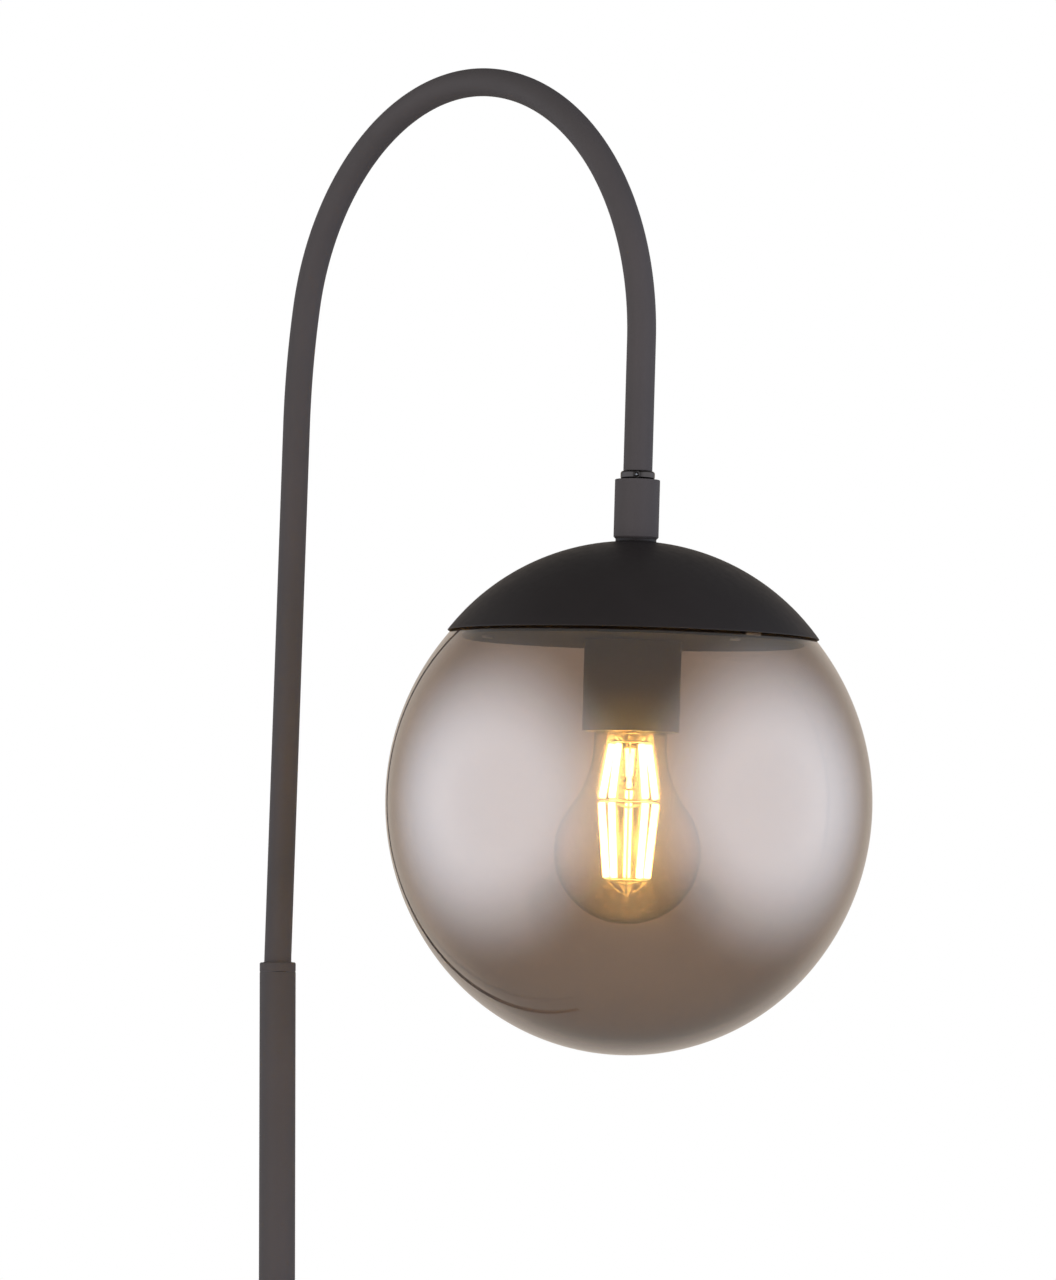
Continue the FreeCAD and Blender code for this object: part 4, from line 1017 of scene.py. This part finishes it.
# ---------- Globe ----------
@dataclass
class Globe(Assembly):
    """The blown globe: flatter sides, a rounder thick bottom and a ground mouth."""

    body: ClassVar[str] = "globe"
    rim_depth: float
    radius: float = 100.0
    centre_drop: float = 68.6
    flattening: float = 7.0
    drop_extra: float = 3.7
    wall: float = 1.8
    bottom_wall: float = 4.5
    mouth_overlap: float = 1.4
    mouth_round: float = 0.6

    def middle(self) -> np.ndarray:
        """The middle of the globe in the lamp's frame."""
        return self.place.of(np.array([0, 0, -(self.rim_depth + self.centre_drop) * MM]))

    def face(self, side: float, drop: float, steps: int = 44) -> np.ndarray:
        """One face of the glass, from the bottom up to the mouth.

        The side is an arc centred beyond the axis by the flattening, and the bottom is an arc
        centred on the axis that meets it without a corner. The bottom arc's radius q makes the two
        centres as far apart as the two radii differ: q = (2 a s - a^2 - d^2) / (2 (s - d)), for a
        waist radius a, a side radius s and a drop d.

        Args:
            side: the side arc's radius.
            drop: how far below the middle the bottom reaches.
            steps: how many stretches make the bottom arc. The side has twice as many.

        Returns:
            Rows of radius and depth.
        """
        waist = side - self.flattening
        middle = self.rim_depth + self.centre_drop
        round_radius = (2 * waist * side - waist ** 2 - drop ** 2) / (2 * (side - drop))
        lift = drop - round_radius
        joint = math.atan2(self.flattening, lift)
        top = math.acos((self.rim_depth - self.mouth_overlap - middle) / side)
        bottom = arc((0, middle + lift), round_radius, 0, joint, steps)
        flank = arc((-self.flattening, middle), side, joint, top, steps * 2)
        return np.vstack([bottom, flank[1:]])

    def build(self) -> None:
        """Build the globe as one closed wall."""
        side = self.radius + self.flattening
        drop = self.radius + self.drop_extra
        outer, inner = self.face(side, drop), self.face(side - self.wall, drop - self.bottom_wall)
        lip = [(*outer[-1], self.mouth_round), (*inner[-1], self.mouth_round)]
        self.turn("globe_blown_glass", SMOKED_GLASS, "globe_glass", lipped(outer, inner, lip, 5),
                  240, 60, poles=True)


# ---------- Bulb ----------
@dataclass
class Bulb(Assembly):
    """The filament bulb: envelope, screw cap, stem, wires and two tiers of filaments.

    The three rings of wire are each given by depth and radius. A ring has a spoke between each two
    strips, and the spoke's root on the stem or on the post is given by how far it lies below the
    ring and by its radius.
    """

    body: ClassVar[str] = "bulb"
    shoulder: float = 106.9
    end: float = 187.7
    radius: float = 30.3
    neck_radius: float = 15.0
    neck_blend: float = 45.0
    wall: float = 0.8
    mouth_gap: float = 1.0
    bottom_gap: float = 0.02
    cap_radius: float = 13.1
    cap_wall: float = 0.6
    cap_length: float = 20.5
    cap_plain: float = 1.2
    thread_pitch: float = 3.63
    thread_depth: float = 0.75
    stem_radius: float = 3.4
    stem_length: float = 25.0
    stem_flare: float = 11.2
    stem_pinch: float = 0.72
    rings: tuple[tuple[float, float], ...] = ((111.6, 7.8), (136.0, 11.8), (169.0, 8.7))
    spoke_roots: tuple[tuple[float, float], ...] = ((4.5, 3.1), (3.0, 0.0), (2.0, 0.0))
    spoke_share: float = 0.8
    strips: int = 5
    strip_radius: float = 1.5
    strip_bearing: float = -6.2
    wire_radius: float = 0.45
    post_sunk: float = 1.0
    tail: float = 6.0

    def build(self) -> None:
        """Build every piece of the bulb that is seen."""
        self.turn("bulb_envelope", BULB_GLASS, "bulb_glass", self.envelope_outline(), 128, 60)
        self.show("bulb_thread_cap", BULB_NICKEL, "bulb_screw_cap", [self.screw_cap()])
        self.turn("bulb_glass_stem", STEM_GLASS, "bulb_stem", self.stem_outline(), 48, 60, True)
        self.show("bulb_support_wires", WIRE, "bulb_wires", self.wires())
        self.show("bulb_lit_strips", LIT_STRIP, "bulb_filaments", self.filaments())

    def envelope_outline(self) -> np.ndarray:
        """The envelope: ball, hollow blend, neck, rounded shoulder and inturned mouth.

        The blend is an arc that touches the ball and the neck. Its centre is the neck radius plus
        the blend radius from the axis, and the ball's radius plus the blend's from the ball's
        centre. A hair's width is left open at the bottom, so that the outline stays off the axis.

        Returns:
            The envelope's outline.
        """
        middle = self.end - self.radius
        out = self.neck_radius + self.neck_blend
        blend = middle - math.sqrt((self.neck_blend + self.radius) ** 2 - out ** 2)
        meet = math.atan2(out, blend - middle)

        def face(inset: float) -> np.ndarray:
            """One face of the wall from the bottom up to the neck's shoulder."""
            hollow = arc((out, blend), self.neck_blend + inset, meet - math.pi, -math.pi / 2, 24)
            return np.vstack([arc((0, middle), self.radius - inset, 0, meet, 60), hollow[1:]])

        mouth = self.cap_radius - self.cap_wall - self.mouth_gap
        top, wall = self.shoulder, self.wall
        outline = lipped(face(0), face(wall), [
            (self.neck_radius, top, 2.0), (mouth, top, 0.3), (mouth, top + wall, 0.3),
            (self.neck_radius - wall, top + wall, 1.3)], 6)
        outline[0, 0] = outline[-1, 0] = self.bottom_gap
        return outline

    def screw_cap(self) -> Shell:
        """The screw cap with its rolled thread.

        Between its two plain ends the sheet's radius is less by the thread's depth times half of
        one less the cosine of a turn for each pitch of depth, set back by the angle round the axis,
        so that the crests climb as one helix. The wave fades out over one pitch at each end.

        Returns:
            The cap's shell.
        """
        top, low, pitch = self.shoulder - self.cap_length, self.shoulder, self.thread_pitch
        depth = np.linspace(top, low, 150)[:, None]
        angle = full_turn(96)
        turn = (depth - top) / pitch - angle / (2 * math.pi)
        fade = (np.clip((depth - top) / pitch, 0, 1)
                * np.clip((low - self.cap_plain - depth) / pitch, 0, 1))
        dip = self.thread_depth * fade * (0.5 - 0.5 * np.cos(2 * math.pi * turn))
        outer = self.cap_radius - dip
        reach = np.vstack([outer, (outer - self.cap_wall)[::-1]])
        rings = about_axis(reach, angle, np.vstack([depth, depth[::-1]]))
        return grid_shell(self.place.of(rings * MM))

    def stem_outline(self) -> np.ndarray:
        """The stem: a flare on the mouth, a slim tube and a rounded pinch at its end.

        Returns:
            The stem's outline.
        """
        top, foot = self.shoulder, self.shoulder + self.stem_length
        flare, slim = self.stem_flare, self.stem_radius
        return rounded([(0, top, 0), (flare, top, 0.4), (flare - 0.6, top + 0.9, 1.0),
                        (slim, top + 5.5, 6), (slim, foot - 7, 1.5),
                        (slim * self.stem_pinch, foot - 5, 1.5), (slim, foot - 2.6, 1.6),
                        (1.3, foot, 1.6), (0, foot, 0)], False, 8)

    def spot(self, radius: float, depth: float, bearing: float) -> np.ndarray:
        """A point of the bulb by radius, depth and bearing in degrees."""
        return self.place.of(about_axis(radius, math.radians(bearing), depth) * MM)

    def bearings(self, shift: float) -> list[float]:
        """The strips' bearings in degrees, moved on by a share of the angle between them."""
        return [self.strip_bearing + (index + shift) * 360 / self.strips
                for index in range(self.strips)]

    def wires(self) -> list[Shell]:
        """The three rings, the post under the stem, and the spokes that hold the rings.

        A ring is the wire's own circle turned about the bulb's axis at the ring's radius.

        Returns:
            A shell for each length of wire.
        """
        wire = self.wire_radius * MM
        section = about_axis(wire, full_turn(12), 0.0)[:, :2]
        shells = [turned(np.array([radius, depth]) * MM + section, self.place, 64)
                  for depth, radius in self.rings]
        foot = self.shoulder + self.stem_length - self.post_sunk
        last = self.rings[-1][0] + self.tail
        shells.append(rod(self.spot(0, foot, 0), self.spot(0, last, 0), wire, 10))
        for bearing in self.bearings(0.5):
            for (depth, radius), (drop, root) in zip(self.rings, self.spoke_roots):
                shells.append(rod(self.spot(root, depth + drop, bearing),
                                  self.spot(radius, depth, bearing), wire * self.spoke_share, 8))
        return shells

    def filaments(self) -> list[Shell]:
        """The strips: straight rods from ring to ring, a little short of the wires.

        Returns:
            A shell for each strip.
        """
        shells = []
        for (first, start), (second, end) in zip(self.rings, self.rings[1:]):
            slope = (end - start) / (second - first)
            ends = [(start + slope * (depth - first), depth)
                    for depth in (first + 2 * self.wire_radius, second - 2 * self.wire_radius)]
            shells += [rod(*(self.spot(radius, depth, bearing) for radius, depth in ends),
                           self.strip_radius * MM, 16) for bearing in self.bearings(0)]
        return shells


# ---------- Studio ----------
@dataclass(frozen=True)
class SoftPanel:
    """A lit diffuser that bends round the lamp and fades towards its edges.

    Its bearing is in degrees from the camera, and its level is the strength at its core, where one
    is white.
    """

    name: str
    bearing: float
    colour: str
    level: float
    half_angle: float = 80.0
    half_rise: float = 63.0
    distance: float = 2.6
    core: float = 0.3
    columns: int = 49
    rows: int = 33


@dataclass(frozen=True)
class KeyLamp:
    """A soft lamp beside the camera, which lights the lamp but isn't mirrored in it."""

    name: str
    bearing: float
    colour: str
    watts: float
    rise: float = 2.0
    distance: float = 1.9
    width: float = 1.2
    height: float = 1.8


@dataclass
class Studio:
    """Pale floor, white surroundings, soft panels round the lamp and the fitted camera.

    Lengths are in metres and angles in degrees.
    """

    middle: np.ndarray
    view_bearing: float = 51.8
    camera_distance: float = 2.280
    camera_height: float = 1.0785
    yaw: float = 2.80
    pitch: float = 4.60
    roll: float = -0.08
    focal_pixels: float = 5117.0
    picture_height: float = 1280.0
    sensor: float = 36.0
    nearest: float = 0.05
    farthest: float = 60.0
    floor_radius: float = 3.0
    floor_core: float = 0.25
    floor_colour: str = "#F6F5F4"
    card_height: float = 0.6
    card_radius: float = 0.18
    plain_level: float = 0.45
    mirrored_level: float = 0.2
    panels: tuple[SoftPanel, ...] = (
        SoftPanel("panel_left", -72, "#E4EEFC", 2.6),
        SoftPanel("panel_right", 67, "#E4EEFC", 2.6),
        SoftPanel("white_backdrop", 180, "#FFF0E2", 0.5, half_rise=52, distance=2.7, core=0.4),
    )
    lamps: tuple[KeyLamp, ...] = (KeyLamp("key_left", -42, "#FFF6EE", 18.0),
                                  KeyLamp("key_right", 42, "#F0F1FF", 20.0))

    def build(self) -> None:
        """Make the camera, the surroundings, the floor, the card, the panels and the lamps."""
        self.camera()
        self.surroundings()
        self.floor()
        self.card()
        for panel in self.panels:
            self.soft_panel(panel)
        for lamp in self.lamps:
            self.key_lamp(lamp)

    def directions(self) -> tuple[Vector, Vector]:
        """The directions of back, towards the camera, and of right in the photograph's view."""
        sine, cosine = (part(math.radians(self.view_bearing)) for part in (math.sin, math.cos))
        return Vector((sine, -cosine, 0)), Vector((cosine, sine, 0))

    def camera(self) -> None:
        """Set up the camera from the fitted view: a long lens, turned slightly right and up."""
        back, right = self.directions()
        yaw, pitch = math.radians(self.yaw), math.radians(self.pitch)
        forward = (right * math.sin(yaw) * math.cos(pitch) - back * math.cos(yaw) * math.cos(pitch)
                   + Vector((0, 0, 1)) * math.sin(pitch))
        data = bpy.data.cameras.new("photograph_camera")
        data.sensor_width = self.sensor
        data.lens = self.focal_pixels / self.picture_height * self.sensor
        data.clip_start, data.clip_end = self.nearest, self.farthest
        camera = bpy.data.objects.new("photograph_camera", data)
        bpy.context.scene.collection.objects.link(camera)
        turn = forward.to_track_quat("-Z", "Y").to_matrix() @ Matrix.Rotation(
            math.radians(self.roll), 3, "Z")
        camera.matrix_world = Matrix.Translation(
            back * self.camera_distance + Vector((0, 0, self.camera_height))) @ turn.to_4x4()
        bpy.context.scene.camera = camera

    def surroundings(self) -> None:
        """White surroundings, seen directly or through glass; dimmer for light and reflections.

        Straight sight is a camera or transmitted ray that no gloss has turned.
        """
        world = bpy.data.worlds.new("white_studio")
        bpy.context.scene.world = world
        world.use_nodes = True
        tree = world.node_tree
        tree.nodes.clear()
        path = add_node(tree, "ShaderNodeLightPath")
        seen = add_node(tree, "ShaderNodeMath", {"operation": "MAXIMUM"},
                        links={0: path.outputs["Is Camera Ray"],
                               1: path.outputs["Is Transmission Ray"]})
        plain = add_node(tree, "ShaderNodeMix", values={2: self.plain_level, 3: 1.0},
                         links={0: seen})
        level = add_node(tree, "ShaderNodeMix", values={3: self.mirrored_level},
                         links={0: self.mirrored(tree), 2: plain})
        white = add_node(tree, "ShaderNodeBackground", values={"Color": (1, 1, 1, 1)},
                         links={"Strength": level})
        add_node(tree, "ShaderNodeOutputWorld", links={"Surface": white})

    @staticmethod
    def mirrored(tree: NodeTree) -> Node:
        """One where gloss has turned the ray at least once, or else nought."""
        path = add_node(tree, "ShaderNodeLightPath")
        return add_node(tree, "ShaderNodeMath", {"operation": "GREATER_THAN"}, {1: 0.5},
                        {0: path.outputs["Glossy Depth"]})

    @staticmethod
    def staged(name: str, points: np.ndarray, faces: np.ndarray, material: Material,
               fade: np.ndarray | None = None) -> None:
        """Put a sheet on the stage, which isn't part of the lamp.

        Args:
            name: the sheet's name.
            points: its points, one row each.
            faces: its faces, as rows of point numbers.
            material: its material.
            fade: for a sheet that only reflections see, each point's share of the light.
        """
        mesh = bpy.data.meshes.new(name)
        mesh.from_pydata(points.tolist(), [], faces.tolist())
        mesh.materials.append(material)
        sheet = bpy.data.objects.new(name, mesh)
        bpy.context.scene.collection.objects.link(sheet)
        if fade is not None:
            mesh.attributes.new("fade", "FLOAT", "POINT").data.foreach_set("value", fade)
            sheet.visible_shadow = sheet.visible_camera = sheet.visible_diffuse = False

    def reflected_light(self, name: str, colour: str, level: float) -> Material:
        """Light that only reflections see, and that fades as the sheet's points say.

        Args:
            name: the material's name.
            colour: sRGB colour of the light.
            level: the light's strength, where one is white.

        Returns:
            The material.
        """
        material, tree = new_material(name)
        fade = add_node(tree, "ShaderNodeAttribute", {"attribute_name": "fade"})
        share = add_node(tree, "ShaderNodeMath", {"operation": "MULTIPLY"},
                         links={0: fade.outputs["Fac"], 1: self.mirrored(tree)})
        glow = add_node(tree, "ShaderNodeEmission",
                        values={"Color": linear(colour), "Strength": level})
        gone = add_node(tree, "ShaderNodeBsdfTransparent")
        mixed = add_node(tree, "ShaderNodeMixShader", links={0: share, 1: gone, 2: glow})
        add_node(tree, "ShaderNodeOutputMaterial", links={"Surface": mixed})
        return material

    def soft_panel(self, panel: SoftPanel) -> None:
        """Make a diffuser, as a patch of a sphere round the globe.

        A point at a bearing b and a rise e is the distance times (cos e cos b, cos e sin b, sin e)
        from the globe's middle. The light fades with the square root of the sum of the squares of
        b and e, each over its half angle, from the core out to one.

        Args:
            panel: the panel's place and light.
        """
        across = np.linspace(-1, 1, panel.columns)[None, :]
        upwards = np.linspace(-1, 1, panel.rows)[:, None]
        turn = np.radians(panel.bearing + across * panel.half_angle)
        rise = np.radians(upwards * panel.half_rise)
        sphere = Place(self.middle, *(np.array(way) for way in self.directions()), np.eye(3)[2])
        points = sphere.of(panel.distance * about_axis(np.cos(rise), turn, -np.sin(rise)))
        share = np.clip((1 - np.hypot(across, upwards)) / (1 - panel.core), 0, 1)
        corner = np.arange(panel.rows - 1)[:, None] * panel.columns + np.arange(panel.columns - 1)
        above = corner + panel.columns
        faces = np.stack([corner, corner + 1, above + 1, above], -1)
        self.staged(panel.name, points.reshape(-1, 3), faces.reshape(-1, 4),
                    self.reflected_light(panel.name, panel.colour, panel.level),
                    (share ** 2 * (3 - 2 * share)).ravel())

    def card(self) -> None:
        """Make a small white card below the picture, between the globe and the foot.

        It keeps the foot from being mirrored in the globe, at the level of the mirrored
        surroundings.
        """
        centre = np.array([self.middle[0] / 2, self.middle[1] / 2, self.card_height])
        points = centre + about_axis(self.card_radius, full_turn(64), 0.0)
        self.staged("white_card", points, np.arange(len(points))[None],
                    self.reflected_light("white_card", "#FFFFFF", self.mirrored_level),
                    np.ones(len(points)))

    def key_lamp(self, lamp: KeyLamp) -> None:
        """Make a soft lamp that points at the globe's middle.

        Args:
            lamp: the lamp's place and light.
        """
        back, right = self.directions()
        side, up = math.radians(lamp.bearing), math.radians(lamp.rise)
        way = ((back * math.cos(side) + right * math.sin(side)) * math.cos(up)
               + Vector((0, 0, math.sin(up))))
        data = bpy.data.lights.new(lamp.name, "AREA")
        data.shape = "RECTANGLE"
        data.size, data.size_y = lamp.width, lamp.height
        data.energy = lamp.watts
        data.color = linear(lamp.colour)[:3]
        light = bpy.data.objects.new(lamp.name, data)
        bpy.context.scene.collection.objects.link(light)
        light.location = Vector(self.middle) + way * lamp.distance
        light.rotation_euler = (-way).to_track_quat("-Z", "Y").to_euler()
        light.visible_camera = light.visible_transmission = light.visible_glossy = False

    def floor(self) -> None:
        """Make a pale floor that fades into the white surroundings and that gloss doesn't mirror."""
        material, tree = new_material("pale_floor")
        place = add_node(tree, "ShaderNodeTexCoord")
        far = add_node(tree, "ShaderNodeVectorMath", {"operation": "LENGTH"},
                       links={0: place.outputs["Object"]})
        fade = add_node(tree, "ShaderNodeMapRange", {"interpolation_type": "SMOOTHSTEP"},
                        {"From Min": self.floor_core * self.floor_radius,
                         "From Max": self.floor_radius}, {"Value": far.outputs["Value"]})
        hidden = add_node(tree, "ShaderNodeMath", {"operation": "MAXIMUM"},
                          links={0: fade, 1: self.mirrored(tree)})
        pale = add_node(tree, "ShaderNodeBsdfDiffuse",
                        values={"Color": linear(self.floor_colour)})
        gone = add_node(tree, "ShaderNodeBsdfTransparent")
        mixed = add_node(tree, "ShaderNodeMixShader", links={0: hidden, 1: pale, 2: gone})
        add_node(tree, "ShaderNodeOutputMaterial", links={"Surface": mixed})
        points = about_axis(self.floor_radius, full_turn(96), 0.0)
        self.staged("studio_floor", points, np.arange(len(points))[None], material)


# ---------- Whole lamp ----------
def head_place(joints: Sequence[dict[str, Any]]) -> Place:
    """The head's axes, read from the joint that the head turns on.

    Args:
        joints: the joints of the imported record.

    Returns:
        The place whose origin is the end of the arm tube and whose up runs along the head's axis.
    """
    joint = next(j for j in joints if j["name"] == "head_swivel")
    up = np.array(joint["axis"], float)
    up /= np.linalg.norm(up)
    along = np.array([0.0, 1.0, 0.0])
    return Place(np.array(joint["pos_m"], float), np.cross(along, up), along, up)


def dress_kept_nodes(nodes: dict[str, Object]) -> None:
    """Give every CAD node that is shown as packed its finish.

    Args:
        nodes: the CAD nodes by name.
    """
    for finish, names in KEPT_NODES.items():
        for name in names:
            nodes[name].data.materials.clear()
            nodes[name].data.materials.append(dressing(finish))


def main() -> None:
    """Load the frame, build every sub-assembly in order and the studio, and set the view transform.
    """
    logging.basicConfig(level=logging.INFO, format="%(name)s %(message)s")
    for item in list(bpy.data.objects):
        bpy.data.objects.remove(item)
    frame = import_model()
    dress_kept_nodes(frame["nodes"])
    place = head_place(frame["joints"])
    head = Head(place)
    globe = Globe(place, head.rim_depth)
    for sub_assembly in (Stand(UPRIGHT), Arm(UPRIGHT), head, globe, Studio(globe.middle()),
                         Bulb(place)):
        sub_assembly.build()

    bpy.context.scene.view_settings.view_transform = "Standard"
    bpy.context.view_layer.update()


if __name__ == "__main__":
    main()
